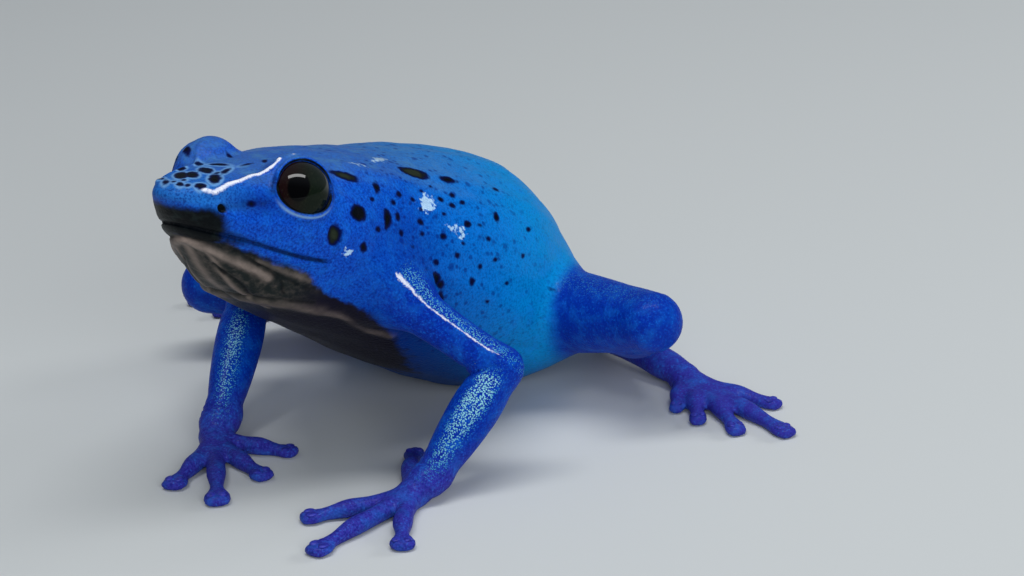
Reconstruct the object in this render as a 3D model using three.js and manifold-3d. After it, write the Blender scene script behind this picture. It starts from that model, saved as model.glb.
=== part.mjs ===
// A blue poison dart frog at life size, sitting with its head raised.
// Millimetres, +Z up. The frog looks along -Y and its left side is +X.
// The origin is on the floor, under the middle of the frog's outline.
//
// Head and trunk are worked out in the body frame: x to the left, y back from the tip of the
// snout, z up from the line of the mouth. That frame is tilted and lifted into place at the end.

import * as THREE from 'three';
import * as BufferGeometryUtils from 'three/addons/utils/BufferGeometryUtils.js';
import Module from 'manifold-3d';

const wasm = await Module();
wasm.setup();

// Driving dimensions

const SNOUT_TO_VENT = 44.5;
const HEAD_RAISE = THREE.MathUtils.degToRad(21.5);
const PIVOT_Y = 20;
const PIVOT_HEIGHT = 15.2;
const ORIGIN_SHIFT_X = -0.665;
const ORIGIN_SHIFT_Y = -2.28;
const GAP = 0.3;
const CLEARANCE = 0.345;

const NECK_Y = 14.5;
const SNOUT_CAP_Y = 2.6;
const SNOUT_CAP_Z = 1.1;
const RUMP_CAP_Y = 32;
const RUMP_CAP_Z = -2.4;
const NECK_Z = 0.4;
const BODY_REACH = 20;
const BISECTIONS = 24;

const HEAD_SIDES = 36;
const TRUNK_SIDES = 36;
const LIMB_SIDES = 10;
const DIGIT_SIDES = 8;
const SNOUT_RINGS = 6;
const HEAD_STEPS = 12;
const TRUNK_STEPS = 13;
const RUMP_RINGS = 8;
const LIMB_STEPS = 7;
const DIGIT_STEPS = 8;
const LIMB_CAP_ANGLES = [0.35, 0.85, 1.25];
const DIGIT_CAP_ANGLES = [0.45, 1.05];

const EYE_RADIUS = 2.3;
const EYE_X = 4.5;
const EYE_Y = 8.85;
const EYE_Z = 3.68;
const EYE_LOOK = new THREE.Vector3(0.87, -0.4, 0.28).normalize();
const LID_RING_RADIUS = 2.46;
const LID_THICKNESS = 0.38;
const LID_SEAT = 0.85;
const LID_COVER = 0.58;
const LID_BLEND = 0.9;
const LID_EDGE = 0.3;
const EYE_SIDES = 18;
const LID_RING_SIDES = 6;
const LID_RING_STEPS = 20;

const LIP_Z = 0.15;
const MOUTH_CORNER_Y = 10.6;
const MOUTH_GROOVE_RADIUS = 0.2;
const MOUTH_STEPS = 14;
const MOUTH_FRONT_Y = 1.9;
const MOUTH_TURN_Y = 3;
const NOSTRIL_Y = 2.55;
const NOSTRIL_Z = 1.95;
const NOSTRIL_RADIUS = 0.36;
const NOSTRIL_SIDES = 8;
const EAR_Y = 10.6;
const EAR_Z = 1.1;
const EAR_RADIUS = 0.75;
const EAR_DEPTH = 0.22;
const EAR_FLATNESS = 0.72;
const EAR_SIDES = 12;

// Profiles of the body, each a short list of [y, value] pairs that a smooth curve joins

/** Returns a smooth function through [place, value] pairs, straight beyond both ends. */
function smoothThrough(pairs) {
  const last = pairs.length - 1;
  const slopeBetween = (i) => (pairs[i + 1][1] - pairs[i][1]) / (pairs[i + 1][0] - pairs[i][0]);
  const slopeAt = (i) => {
    if (i === 0) return slopeBetween(0);
    if (i === last) return slopeBetween(last - 1);
    return (slopeBetween(i - 1) + slopeBetween(i)) / 2;
  };
  return (place) => {
    if (place <= pairs[0][0]) return pairs[0][1] + (place - pairs[0][0]) * slopeAt(0);
    if (place >= pairs[last][0]) return pairs[last][1] + (place - pairs[last][0]) * slopeAt(last);
    let i = 0;
    while (place > pairs[i + 1][0]) i += 1;
    const span = pairs[i + 1][0] - pairs[i][0];
    const s = (place - pairs[i][0]) / span;
    const rise = s * s * (3 - 2 * s);
    const lead = s * (1 - s) * (1 - s) * span * slopeAt(i);
    const trail = -s * s * (1 - s) * span * slopeAt(i + 1);
    return pairs[i][1] + (pairs[i + 1][1] - pairs[i][1]) * rise + lead + trail;
  };
}

const crownHeight = smoothThrough([
  [0, 2.8], [2, 3.45], [5, 4.3], [8, 5.1], [11, 5.6], [14, 5.8], [17, 5.7],
]);
const canthusHalf = smoothThrough([
  [0, 1.7], [2, 2.4], [4, 3.0], [6, 3.7], [9, 4.9], [12, 5.7], [17, 5.8],
]);
const lipHalf = smoothThrough([
  [0, 1.8], [2, 3.1], [5, 4.8], [8, 6.1], [11, 6.8], [14, 6.9], [17, 6.5],
]);
const jawDepth = smoothThrough([
  [0, 0.6], [3, 1.95], [6, 3.15], [9, 4.25], [12, 5.1], [14, 5.45], [17, 5.5],
]);
const mouthHeight = smoothThrough([[2, 0.28], [5, -0.12], [7, -0.5], [9, -0.78], [11, -0.88]]);
const edgeRounding = smoothThrough([[0, 0.5], [6, 0.8], [10, 1.8], [15, 3.0]]);

const backHeight = smoothThrough([
  [10, 5.4], [14, 6.1], [18, 6.7], [23, 7.3], [28, 7.7], [33, 7.7], [38, 6.6], [44, 4.4],
]);
const bellyDepth = smoothThrough([
  [10, 4.6], [14, 5.6], [18, 6.8], [24, 8.4], [30, 9.5], [36, 10.4], [44, 9.6],
]);
const flankHalf = smoothThrough([
  [10, 6.8], [14, 7.35], [18, 8.2], [23, 9.6], [28, 10.6], [33, 11.0], [38, 10.4], [44, 9.0],
]);
const trunkAxis = smoothThrough([[14, -0.2], [24, -1.0], [30, -2.2], [36, -3.3], [44, -4.4]]);

const ROUNDING_END_Y = 15;
const CROWN_FALL = 0.035;
const LOREAL_HOLLOW = 0.28;
const LOREAL_END_Y = 7;
const LOREAL_FADE = 3;
const SNOUT_LEAN = 0.28;
const CHIN_SLOPE = 1.1;
const CHIN_ROUNDING = 0.15;
const SNOUT_TIP_Z = 2.3;
const HEAD_REAR_Y = 19;
const SNOUT_ROUNDING = 0.2;
const SNOUT_BLEND = 0.45;
const LIP_BLEND = 0.5;
const HEAD_REAR_BLEND = 2;
const WALL_SLOPE = 0.9;
const FRONT_SLOPE = 0.75;
const JAW_POWER = 2.3;
const TRUNK_POWER = 2.15;
const TRUNK_FRONT_Y = 5;
const TRUNK_FRONT_REACH = 12;
const RUMP_BEYOND_VENT = 1.5;
const TRUNK_REAR_REACH = SNOUT_TO_VENT - RUMP_CAP_Y + RUMP_BEYOND_VENT;
const HEAD_TRUNK_BLEND = 2.5;

const clamp = THREE.MathUtils.clamp;

/** Returns the lower of two values, rounded over where they come within `blend` of each other. */
function softMin(a, b, blend) {
  const h = Math.max(blend - Math.abs(a - b), 0) / blend;
  return Math.min(a, b) - h * h * blend / 4;
}

/** Returns the higher of two values, rounded over in the same way. */
function softMax(a, b, blend) {
  return -softMin(-a, -b, blend);
}

/** Distance-like value of the head: flat crown, sloping cheeks, blunt snout, rounded jaw. */
function headField(x, y, z) {
  const side = Math.abs(x);
  const round = edgeRounding(clamp(y, 0, ROUNDING_END_Y));
  const crown = z - crownHeight(y) + CROWN_FALL * side * side;
  const rise = clamp((z - LIP_Z) / (crownHeight(y) - LIP_Z), 0, 1.2);
  const hollowShare = clamp((LOREAL_END_Y - y) / LOREAL_FADE, 0, 1);
  const hollow = LOREAL_HOLLOW * Math.sin(Math.PI * clamp(rise, 0, 1)) * hollowShare;
  const cheekWall = lipHalf(y) + (canthusHalf(y) - lipHalf(y)) * rise - hollow;
  const cheek = (side - cheekWall) * WALL_SLOPE;
  const drop = z - SNOUT_TIP_Z;
  const chin = CHIN_SLOPE * (Math.hypot(drop, CHIN_ROUNDING) - CHIN_ROUNDING);
  const lean = drop > 0 ? SNOUT_LEAN * drop * drop : chin;
  const front = (lean + SNOUT_ROUNDING * side * side - y) * FRONT_SLOPE;
  const across = Math.pow(side / lipHalf(y), JAW_POWER);
  const down = Math.pow(Math.max(LIP_Z - z, 0) / (jawDepth(y) + LIP_Z), JAW_POWER);
  const jaw = (Math.pow(across + down, 1 / JAW_POWER) - 1) * jawDepth(y);
  const upper = softMax(softMax(crown, cheek, round), front, SNOUT_BLEND);
  return softMax(softMax(upper, jaw, LIP_BLEND), y - HEAD_REAR_Y, HEAD_REAR_BLEND);
}

/** Distance-like value of the trunk: rounded sections that close over the rump. */
function trunkField(x, y, z) {
  const centre = trunkAxis(y);
  const height = z > centre ? backHeight(y) - centre : bellyDepth(y) + centre;
  const width = flankHalf(y);
  const rear = Math.max(y - RUMP_CAP_Y, 0) / TRUNK_REAR_REACH;
  const fore = Math.max(TRUNK_FRONT_Y + TRUNK_FRONT_REACH - y, 0) / TRUNK_FRONT_REACH;
  const sum = Math.pow(Math.abs(x) / width, TRUNK_POWER)
    + Math.pow(Math.abs(z - centre) / height, TRUNK_POWER)
    + Math.pow(rear, TRUNK_POWER)
    + Math.pow(fore, TRUNK_POWER);
  return (Math.pow(sum, 1 / TRUNK_POWER) - 1) * Math.min(width, height);
}

/** Distance-like value of the flesh round the eye: a ball that stops at the rim of the lids. */
function lidField(x, y, z) {
  const offset = new THREE.Vector3(Math.abs(x) - EYE_X, y - EYE_Y, z - EYE_Z);
  const flesh = offset.length() - EYE_RADIUS - LID_COVER;
  return softMax(flesh, offset.dot(EYE_LOOK) - LID_SEAT, LID_EDGE);
}

/** Distance-like value of head and trunk together, negative inside. */
function bodyField(x, y, z) {
  const skull = softMin(headField(x, y, z), trunkField(x, y, z), HEAD_TRUNK_BLEND);
  return softMin(skull, lidField(x, y, z), LID_BLEND);
}

/** Returns how far the body's surface is from `start` along the unit vector `way`. */
function reachOfBody(start, way) {
  let inside = 0;
  let outside = BODY_REACH;
  for (let i = 0; i < BISECTIONS; i += 1) {
    const middle = (inside + outside) / 2;
    const p = way.clone().multiplyScalar(middle).add(start);
    if (bodyField(p.x, p.y, p.z) < 0) inside = middle;
    else outside = middle;
  }
  return inside;
}

// Closed surfaces from rings

/** Turns a list of rings of equal count, with a point at each end, into a closed geometry. */
function loft(rings, firstPoint, lastPoint) {
  const sides = rings[0].length;
  const points = [firstPoint, ...rings.flat(), lastPoint];
  const index = [];
  const at = (ring, side) => 1 + ring * sides + (side % sides);
  for (let side = 0; side < sides; side += 1) {
    index.push(0, at(0, side + 1), at(0, side));
    for (let ring = 0; ring < rings.length - 1; ring += 1) {
      index.push(at(ring, side), at(ring, side + 1), at(ring + 1, side + 1));
      index.push(at(ring, side), at(ring + 1, side + 1), at(ring + 1, side));
    }
    index.push(at(rings.length - 1, side), at(rings.length - 1, side + 1), points.length - 1);
  }
  const places = points.flatMap((p) => [p.x, p.y, p.z]);
  const geometry = new THREE.BufferGeometry();
  geometry.setAttribute('position', new THREE.Float32BufferAttribute(places, 3));
  geometry.setIndex(index);
  return geometry;
}

/** One ring of the body: rays from `start` that lean `lean` radians from the body's axis. */
function bodyRing(start, lean, sides, extra) {
  const ring = [];
  for (let i = 0; i < sides; i += 1) {
    const turn = 2 * Math.PI * i / sides;
    const spread = Math.sin(lean);
    const way = new THREE.Vector3(spread * Math.sin(turn), Math.cos(lean), spread * Math.cos(turn));
    ring.push(way.clone().multiplyScalar(reachOfBody(start, way) + extra).add(start));
  }
  return ring;
}

/** The head from the snout back to `rearY`, in the body frame, grown by `extra`. */
function headSurface(rearY, extra) {
  const capCentre = new THREE.Vector3(0, SNOUT_CAP_Y, SNOUT_CAP_Z);
  const rings = [];
  for (let i = 1; i <= SNOUT_RINGS; i += 1) {
    rings.push(bodyRing(capCentre, Math.PI * (1 - i / (2 * SNOUT_RINGS)), HEAD_SIDES, extra));
  }
  for (let i = 1; i <= HEAD_STEPS; i += 1) {
    const y = THREE.MathUtils.lerp(SNOUT_CAP_Y, rearY, i / HEAD_STEPS);
    const z = THREE.MathUtils.lerp(SNOUT_CAP_Z, NECK_Z, i / HEAD_STEPS);
    rings.push(bodyRing(new THREE.Vector3(0, y, z), Math.PI / 2, HEAD_SIDES, extra));
  }
  const forward = new THREE.Vector3(0, -1, 0);
  const tip = forward.clone().multiplyScalar(reachOfBody(capCentre, forward) + extra).add(capCentre);
  return loft(rings, tip, new THREE.Vector3(0, rearY, NECK_Z));
}

/** The trunk from `frontY` back over the rump, in the body frame, grown by `extra`. */
function trunkSurface(frontY, extra) {
  const rings = [];
  for (let i = 0; i <= TRUNK_STEPS; i += 1) {
    const y = THREE.MathUtils.lerp(frontY, RUMP_CAP_Y, i / TRUNK_STEPS);
    const z = THREE.MathUtils.lerp(NECK_Z, RUMP_CAP_Z, i / TRUNK_STEPS);
    rings.push(bodyRing(new THREE.Vector3(0, y, z), Math.PI / 2, TRUNK_SIDES, extra));
  }
  const capCentre = new THREE.Vector3(0, RUMP_CAP_Y, RUMP_CAP_Z);
  for (let i = 1; i < RUMP_RINGS; i += 1) {
    rings.push(bodyRing(capCentre, Math.PI * (1 - i / RUMP_RINGS) / 2, TRUNK_SIDES, extra));
  }
  const back = new THREE.Vector3(0, 1, 0);
  const end = back.clone().multiplyScalar(reachOfBody(capCentre, back) + extra).add(capCentre);
  return loft(rings, new THREE.Vector3(0, frontY, NECK_Z), end);
}

// From the body frame to the floor

const bodyToFloor = new THREE.Matrix4()
  .makeTranslation(0, 0, PIVOT_HEIGHT)
  .multiply(new THREE.Matrix4().makeRotationX(-HEAD_RAISE))
  .multiply(new THREE.Matrix4().makeTranslation(0, -PIVOT_Y, 0));



// Booleans

/** Makes a closed geometry into a solid. */
function solid(geometry) {
  const bare = new THREE.BufferGeometry();
  bare.setAttribute('position', geometry.getAttribute('position').clone());
  if (geometry.index) bare.setIndex(geometry.index.clone());
  const merged = BufferGeometryUtils.mergeVertices(bare, 1e-5);
  return new wasm.Manifold(new wasm.Mesh({
    numProp: 3,
    vertProperties: new Float32Array(merged.getAttribute('position').array),
    triVerts: new Uint32Array(merged.index.array),
  }));
}

/** Returns a solid's geometry, keeping only its largest closed surface. */
function geometryOf(body) {
  const pieces = body.decompose();
  pieces.sort((a, b) => b.volume() - a.volume());
  const mesh = pieces[0].getMesh();
  const points = [];
  for (let i = 0; i < mesh.numVert; i += 1) {
    points.push(...mesh.vertProperties.slice(i * mesh.numProp, i * mesh.numProp + 3));
  }
  const geometry = new THREE.BufferGeometry();
  geometry.setAttribute('position', new THREE.Float32BufferAttribute(points, 3));
  geometry.setIndex(Array.from(mesh.triVerts));
  return geometry;
}

/** Keeps the part of a solid on the side of a plane that `normal` points to. */
function keepBeyond(body, point, normal, margin) {
  const n = normal.clone().normalize();
  return body.trimByPlane([n.x, n.y, n.z], n.dot(point) + margin);
}

/** Keeps what is above the floor, so that what rests on it has a small flat. */
function aboveFloor(body) {
  return keepBeyond(body, new THREE.Vector3(), new THREE.Vector3(0, 0, 1), 0);
}

// The stance over the floor: joints in millimetres, and fingers and toes as
// [heading in degrees, 0 straight ahead and 90 to the left, length, half width of the disc, bend]

const UPPER_ARM_RADII = [[0, 2.2], [0.35, 1.65], [0.7, 1.5], [1, 1.6]];
const FOREARM_RADII = [[0, 1.45], [0.3, 1.8], [0.65, 1.65], [1, 1.2]];
const THIGH_RADII = [[0, 3.6], [0.3, 3.3], [0.7, 2.7], [1, 2.1]];
const SHANK_RADII = [[0, 2.0], [0.35, 2.5], [0.7, 1.9], [1, 1.35]];
const PALM_RADII = [[0, 1.25], [0.45, 1.25], [1, 0.95]];
const PALM_WIDENING = 1.25;
const ANKLE_RADII = [[0, 1.35], [0.5, 1.1], [0.8, 1.1], [1, 0.9]];
const ANKLE_WIDENING = 1.2;
const SOLE_SINK = 0.8;
const TOE_LIFT = 0.1;

const SIDES = [
  {
    name: 'left',
    side: 1,
    arm: {
      shoulder: [7.2, -3.4, 14.0],
      elbow: [15.2, -0.9, 8.3],
      wrist: [12.9, -6.7, 1.75],
      palm: [12.3, -8.4, 0.9],
    },
    leg: {
      hip: [4.5, 15.5, 5.6],
      knee: [20.4, 10.8, 8.6],
      heel: [8.0, 21.8, 1.8],
      sole: [17.5, 18.6, 1.0],
    },
    fingers: [
      [-143, 8.5, 0.8, 0.03],
      [-38, 8, 0.9, 0.04],
      [-4, 10.5, 1.0, 0],
      [32, 8, 0.95, -0.04],
    ],
    toes: [
      [27, 5, 0.58, 0],
      [42, 7.5, 0.68, 0.03],
      [56, 10.5, 0.76, 0.03],
      [70, 13, 0.8, 0],
      [88, 8.5, 0.7, -0.04],
    ],
  },
  {
    name: 'right',
    side: -1,
    arm: {
      shoulder: [-7.2, -3.4, 14.0],
      elbow: [-11.8, 3.1, 7.7],
      wrist: [-8.0, -5.5, 1.8],
      palm: [-7.4, -7.2, 0.9],
    },
    leg: {
      hip: [-4.5, 15.5, 5.6],
      knee: [-19.6, 7.4, 5.8],
      heel: [-7.5, 22.3, 1.8],
      sole: [-16.5, 20.0, 1.0],
    },
    fingers: [
      [102, 6.5, 0.8, -0.05],
      [67, 8, 0.9, -0.04],
      [41, 11, 1.0, 0],
      [17, 8, 0.95, 0.04],
    ],
    toes: [
      [-22, 5, 0.58, 0],
      [-38, 7.5, 0.68, -0.03],
      [-52, 10.5, 0.76, -0.03],
      [-66, 13, 0.8, 0],
      [-84, 8.5, 0.7, 0.04],
    ],
  },
];

// Limbs

/**
 * A closed limb along `pathAt`, with oval rings of half width `widthAt` and half height
 * `heightAt`, and round ends. All three are functions of the place along it, from 0 to 1.
 */
function limb(pathAt, widthAt, heightAt, steps, sides, capAngles) {
  const step = 0.01;
  const rings = [];
  const addRing = (place, pushed, scale) => {
    const centre = pathAt(place);
    const ahead = pathAt(Math.min(place + step, 1));
    const behind = pathAt(Math.max(place - step, 0));
    const along = ahead.sub(behind).normalize();
    const sideways = new THREE.Vector3(0, 0, 1).cross(along).normalize();
    const upward = along.clone().cross(sideways);
    const heart = centre.addScaledVector(along, pushed);
    const ring = [];
    for (let i = 0; i < sides; i += 1) {
      const turn = 2 * Math.PI * (i + 0.5) / sides;
      const point = heart.clone().addScaledVector(sideways, scale * widthAt(place) * Math.cos(turn));
      ring.push(point.addScaledVector(upward, scale * heightAt(place) * Math.sin(turn)));
    }
    rings.push(ring);
    return heart;
  };
  capAngles.forEach((a) => addRing(0, -heightAt(0) * Math.cos(a), Math.sin(a)));
  for (let i = 0; i <= steps; i += 1) addRing(i / steps, 0, 1);
  [...capAngles].reverse().forEach((a) => addRing(1, heightAt(1) * Math.cos(a), Math.sin(a)));
  const ends = [addRing(0, -heightAt(0), 0), addRing(1, heightAt(1), 0)];
  return solid(loft(rings.slice(0, -2), ends[0], ends[1]));
}

/** A limb segment on the straight line between two joints, wider than high by `widen`. */
function segment(from, to, radii, widen = 1) {
  const radiusAt = smoothThrough(radii);
  const widthAt = (place) => widen * radiusAt(place);
  const pathAt = (place) => from.clone().lerp(to, place);
  return limb(pathAt, widthAt, radiusAt, LIMB_STEPS, LIMB_SIDES, LIMB_CAP_ANGLES);
}

/** The normal of the plane half way between the two segments that meet at `joint`. */
function bendNormal(before, joint, after) {
  const inward = joint.clone().sub(before).normalize();
  const outward = after.clone().sub(joint).normalize();
  return inward.add(outward).normalize();
}

/** Keeps the part of a segment that lies before the joint at its far end. */
function beforeJoint(body, [before, joint, after]) {
  return keepBeyond(body, joint, bendNormal(before, joint, after).negate(), GAP / 2);
}

/** Keeps the part of a segment that lies beyond the joint at its near end. */
function beyondJoint(body, [before, joint, after]) {
  return keepBeyond(body, joint, bendNormal(before, joint, after), GAP / 2);
}

/** A finger or toe that lies on the floor from `root`, bent a little, with a disc at its tip. */
function digit(root, degrees, length, disc, bend) {
  const heading = THREE.MathUtils.degToRad(degrees);
  const forward = new THREE.Vector3(Math.sin(heading), -Math.cos(heading), 0);
  const sideways = new THREE.Vector3(Math.cos(heading), Math.sin(heading), 0);
  const heightAt = smoothThrough([[0, 0.85], [0.4, 0.64], [0.62, 0.66], [0.84, 0.46], [1, 0.4]]);
  const widthAt = smoothThrough([
    [0, 0.88], [0.35, 0.66], [0.6, 0.72], [0.82, 0.52], [0.94, disc], [1, 0.9 * disc],
  ]);
  const pathAt = (place) => {
    const bow = bend * length * Math.sin(Math.PI * place);
    const point = root.clone().addScaledVector(forward, length * place).addScaledVector(sideways, bow);
    point.z = heightAt(place) * SOLE_SINK + TOE_LIFT * Math.sin(Math.PI * place);
    return point;
  };
  return limb(pathAt, widthAt, heightAt, DIGIT_STEPS, DIGIT_SIDES, DIGIT_CAP_ANGLES);
}

/** A hand or foot: its palm or ankle beyond the joint, and its digits, with a flat sole. */
function paw(joints, radii, widen, digits) {
  const [, start, end] = joints;
  let body = beyondJoint(segment(start, end, radii, widen), joints);
  digits.forEach(([degrees, length, disc, bend]) => {
    body = body.add(digit(end, degrees, length, disc, bend));
  });
  return aboveFloor(body);
}

// Head details

/** The groove between the lips, from corner to corner round the snout. */
function mouthGroove() {
  const points = [];
  for (let i = -MOUTH_STEPS; i <= MOUTH_STEPS; i += 1) {
    const side = Math.sign(i);
    const back = MOUTH_CORNER_Y * Math.pow(Math.abs(i) / MOUTH_STEPS, 1.3);
    const height = mouthHeight(Math.max(back, MOUTH_FRONT_Y));
    const start = new THREE.Vector3(0, Math.max(back, MOUTH_TURN_Y), height);
    const lean = Math.min(back / MOUTH_TURN_Y, 1) * Math.PI / 2;
    const way = new THREE.Vector3(side * Math.sin(lean), -Math.cos(lean), 0);
    points.push(way.clone().multiplyScalar(reachOfBody(start, way)).add(start));
  }
  const path = new THREE.CatmullRomCurve3(points);
  const outline = new THREE.Shape();
  outline.absarc(0, 0, MOUTH_GROOVE_RADIUS, 0, 2 * Math.PI);
  return solid(new THREE.ExtrudeGeometry(outline, {
    steps: 2 * MOUTH_STEPS,
    curveSegments: 3,
    bevelEnabled: false,
    extrudePath: path,
  }));
}

/** A ball at `centre`, in the body frame, stretched by `scale`. */
function ball(centre, radius, around, scale = [1, 1, 1]) {
  const geometry = new THREE.SphereGeometry(radius, around, Math.round(around / 2));
  geometry.scale(...scale);
  geometry.translate(centre.x, centre.y, centre.z);
  return solid(geometry);
}

/** The centre of the eye on one side, +1 for the left and -1 for the right. */
function eyeCentre(side) {
  return new THREE.Vector3(side * EYE_X, EYE_Y, EYE_Z);
}

/** The rounded rim of both lids on one side. */
function lidRim(side) {
  const look = EYE_LOOK.clone().setX(side * EYE_LOOK.x);
  const turn = new THREE.Quaternion().setFromUnitVectors(new THREE.Vector3(0, 0, 1), look);
  const geometry = new THREE.TorusGeometry(
    LID_RING_RADIUS, LID_THICKNESS, LID_RING_SIDES, LID_RING_STEPS,
  );
  geometry.applyQuaternion(turn);
  const seat = eyeCentre(side).addScaledVector(look, LID_SEAT);
  geometry.translate(seat.x, seat.y, seat.z);
  return solid(geometry);
}

/** The flesh of both lids on one side: a ball that stops at their rim. */
function lidDome(side) {
  const centre = eyeCentre(side);
  const look = EYE_LOOK.clone().setX(side * EYE_LOOK.x);
  const rim = centre.clone().addScaledVector(look, LID_SEAT);
  return keepBeyond(ball(centre, EYE_RADIUS + LID_COVER, EYE_SIDES), rim, look.negate(), 0);
}

/** The point of the body's surface beside `y` and `z` on one side. */
function besideBody(side, y, z) {
  const start = new THREE.Vector3(0, y, z);
  const way = new THREE.Vector3(side, 0, 0);
  return way.multiplyScalar(reachOfBody(start, way)).add(start);
}

/** The shallow hollow of the eardrum on one side, a flat ball sunk in by `EAR_DEPTH`. */
function earHollow(side) {
  const centre = besideBody(side, EAR_Y, EAR_Z);
  const thickness = EAR_RADIUS * EAR_FLATNESS;
  centre.x += side * (thickness - EAR_DEPTH);
  return ball(centre, EAR_RADIUS, EAR_SIDES, [EAR_FLATNESS, 0.85, 1.15]);
}

/** The head with its lids, sockets, mouth, nostrils and ears. */
function headSolid() {
  let head = solid(headSurface(NECK_Y - GAP / 2, 0));
  [1, -1].forEach((side) => {
    const nostril = besideBody(side, NOSTRIL_Y, NOSTRIL_Z);
    head = head.add(lidDome(side)).add(lidRim(side));
    head = head.subtract(ball(eyeCentre(side), EYE_RADIUS + GAP, EYE_SIDES));
    head = head.subtract(ball(nostril, NOSTRIL_RADIUS, NOSTRIL_SIDES));
    head = head.subtract(earHollow(side));
  });
  return head.subtract(mouthGroove());
}

// The frog, part by part

const frog = new THREE.Group();
frog.position.set(ORIGIN_SHIFT_X, ORIGIN_SHIFT_Y, 0);

/** Adds a named part in one of the skin's colours. */
function addPart(name, body, material) {
  const mesh = new THREE.Mesh(geometryOf(body), material);
  mesh.name = name;
  frog.add(mesh);
}

/** Moves a solid from the body frame to its place over the floor. */
function placed(body) {
  return body.transform(bodyToFloor.elements);
}

const headSkin = new THREE.MeshStandardMaterial({ color: 0x1a3fd0, roughness: 0.35, metalness: 0 });
const backSkin = new THREE.MeshStandardMaterial({ color: 0x0f7fd6, roughness: 0.35, metalness: 0 });
const limbSkin = new THREE.MeshStandardMaterial({ color: 0x1b2f9e, roughness: 0.35, metalness: 0 });
const eyeGloss = new THREE.MeshStandardMaterial({ color: 0x0a0708, roughness: 0.05, metalness: 0 });

const headClear = placed(solid(headSurface(NECK_Y, CLEARANCE)));
const trunkClear = placed(solid(trunkSurface(NECK_Y, CLEARANCE)));

addPart('head', placed(headSolid()), headSkin);
addPart('torso', aboveFloor(placed(solid(trunkSurface(NECK_Y + GAP / 2, 0)))), backSkin);

SIDES.forEach(({ name, side, arm, leg, fingers, toes }) => {
  addPart(`eye_${name}`, placed(ball(eyeCentre(side), EYE_RADIUS, EYE_SIDES)), eyeGloss);

  const shoulder = new THREE.Vector3(...arm.shoulder);
  const elbow = new THREE.Vector3(...arm.elbow);
  const wrist = new THREE.Vector3(...arm.wrist);
  const palm = new THREE.Vector3(...arm.palm);
  const elbowBend = [shoulder, elbow, wrist];
  const wristBend = [elbow, wrist, palm];
  const upperArm = beforeJoint(segment(shoulder, elbow, UPPER_ARM_RADII), elbowBend);
  const forearm = beyondJoint(segment(elbow, wrist, FOREARM_RADII), elbowBend);
  addPart(`upper_arm_${name}`, upperArm.subtract(trunkClear).subtract(headClear), limbSkin);
  addPart(`forearm_${name}`, beforeJoint(forearm, wristBend), limbSkin);
  addPart(`hand_${name}`, paw(wristBend, PALM_RADII, PALM_WIDENING, fingers), limbSkin);

  const hip = new THREE.Vector3(...leg.hip);
  const knee = new THREE.Vector3(...leg.knee);
  const heel = new THREE.Vector3(...leg.heel);
  const sole = new THREE.Vector3(...leg.sole);
  const kneeBend = [hip, knee, heel];
  const heelBend = [knee, heel, sole];
  const thigh = beforeJoint(segment(hip, knee, THIGH_RADII), kneeBend);
  const shank = beforeJoint(beyondJoint(segment(knee, heel, SHANK_RADII), kneeBend), heelBend);
  const foot = paw(heelBend, ANKLE_RADII, ANKLE_WIDENING, toes);
  addPart(`thigh_${name}`, aboveFloor(thigh.subtract(trunkClear)), limbSkin);
  addPart(`shank_${name}`, aboveFloor(shank.subtract(trunkClear)), limbSkin);
  addPart(`foot_${name}`, foot.subtract(trunkClear), limbSkin);
});

export default frog;
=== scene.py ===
"""A blue poison dart frog at life size: its skin, eyes and studio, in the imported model's frame.

Shapes are worked out in millimetres. The body frame has x to the frog's left, y back from the
tip of the snout and z up from the line of the mouth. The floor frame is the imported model's own.
A mesh is handed over in metres.
"""

import logging
import math
from collections.abc import Callable, Sequence
from dataclasses import dataclass, field
from enum import Enum
from itertools import combinations, product

import bmesh
import bpy
import numpy as np
from mathutils import Matrix, Vector


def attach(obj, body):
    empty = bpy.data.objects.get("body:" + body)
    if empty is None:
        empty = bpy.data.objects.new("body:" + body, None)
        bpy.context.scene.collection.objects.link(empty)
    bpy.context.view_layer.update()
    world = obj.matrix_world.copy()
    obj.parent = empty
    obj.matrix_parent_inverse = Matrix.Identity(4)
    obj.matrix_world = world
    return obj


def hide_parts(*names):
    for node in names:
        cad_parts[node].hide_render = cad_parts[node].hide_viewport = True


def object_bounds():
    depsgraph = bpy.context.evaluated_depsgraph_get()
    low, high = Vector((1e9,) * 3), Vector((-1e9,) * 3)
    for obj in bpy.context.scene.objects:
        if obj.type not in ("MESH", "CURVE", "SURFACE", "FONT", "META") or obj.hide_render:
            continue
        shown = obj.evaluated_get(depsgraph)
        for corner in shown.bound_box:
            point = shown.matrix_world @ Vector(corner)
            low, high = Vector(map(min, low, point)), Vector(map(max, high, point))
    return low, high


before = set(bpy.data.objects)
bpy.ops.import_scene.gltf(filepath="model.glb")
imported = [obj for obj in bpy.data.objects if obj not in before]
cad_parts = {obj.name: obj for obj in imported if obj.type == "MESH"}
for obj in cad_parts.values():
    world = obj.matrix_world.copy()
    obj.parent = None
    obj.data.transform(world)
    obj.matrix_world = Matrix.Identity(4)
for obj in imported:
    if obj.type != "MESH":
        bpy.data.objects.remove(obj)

CAD_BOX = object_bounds()
MM = 0.001
LOG = logging.getLogger("frog")

Array = np.ndarray
Field = Callable[[Array], Array]
Triple = tuple[float, float, float]


# Curves and blends


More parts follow.
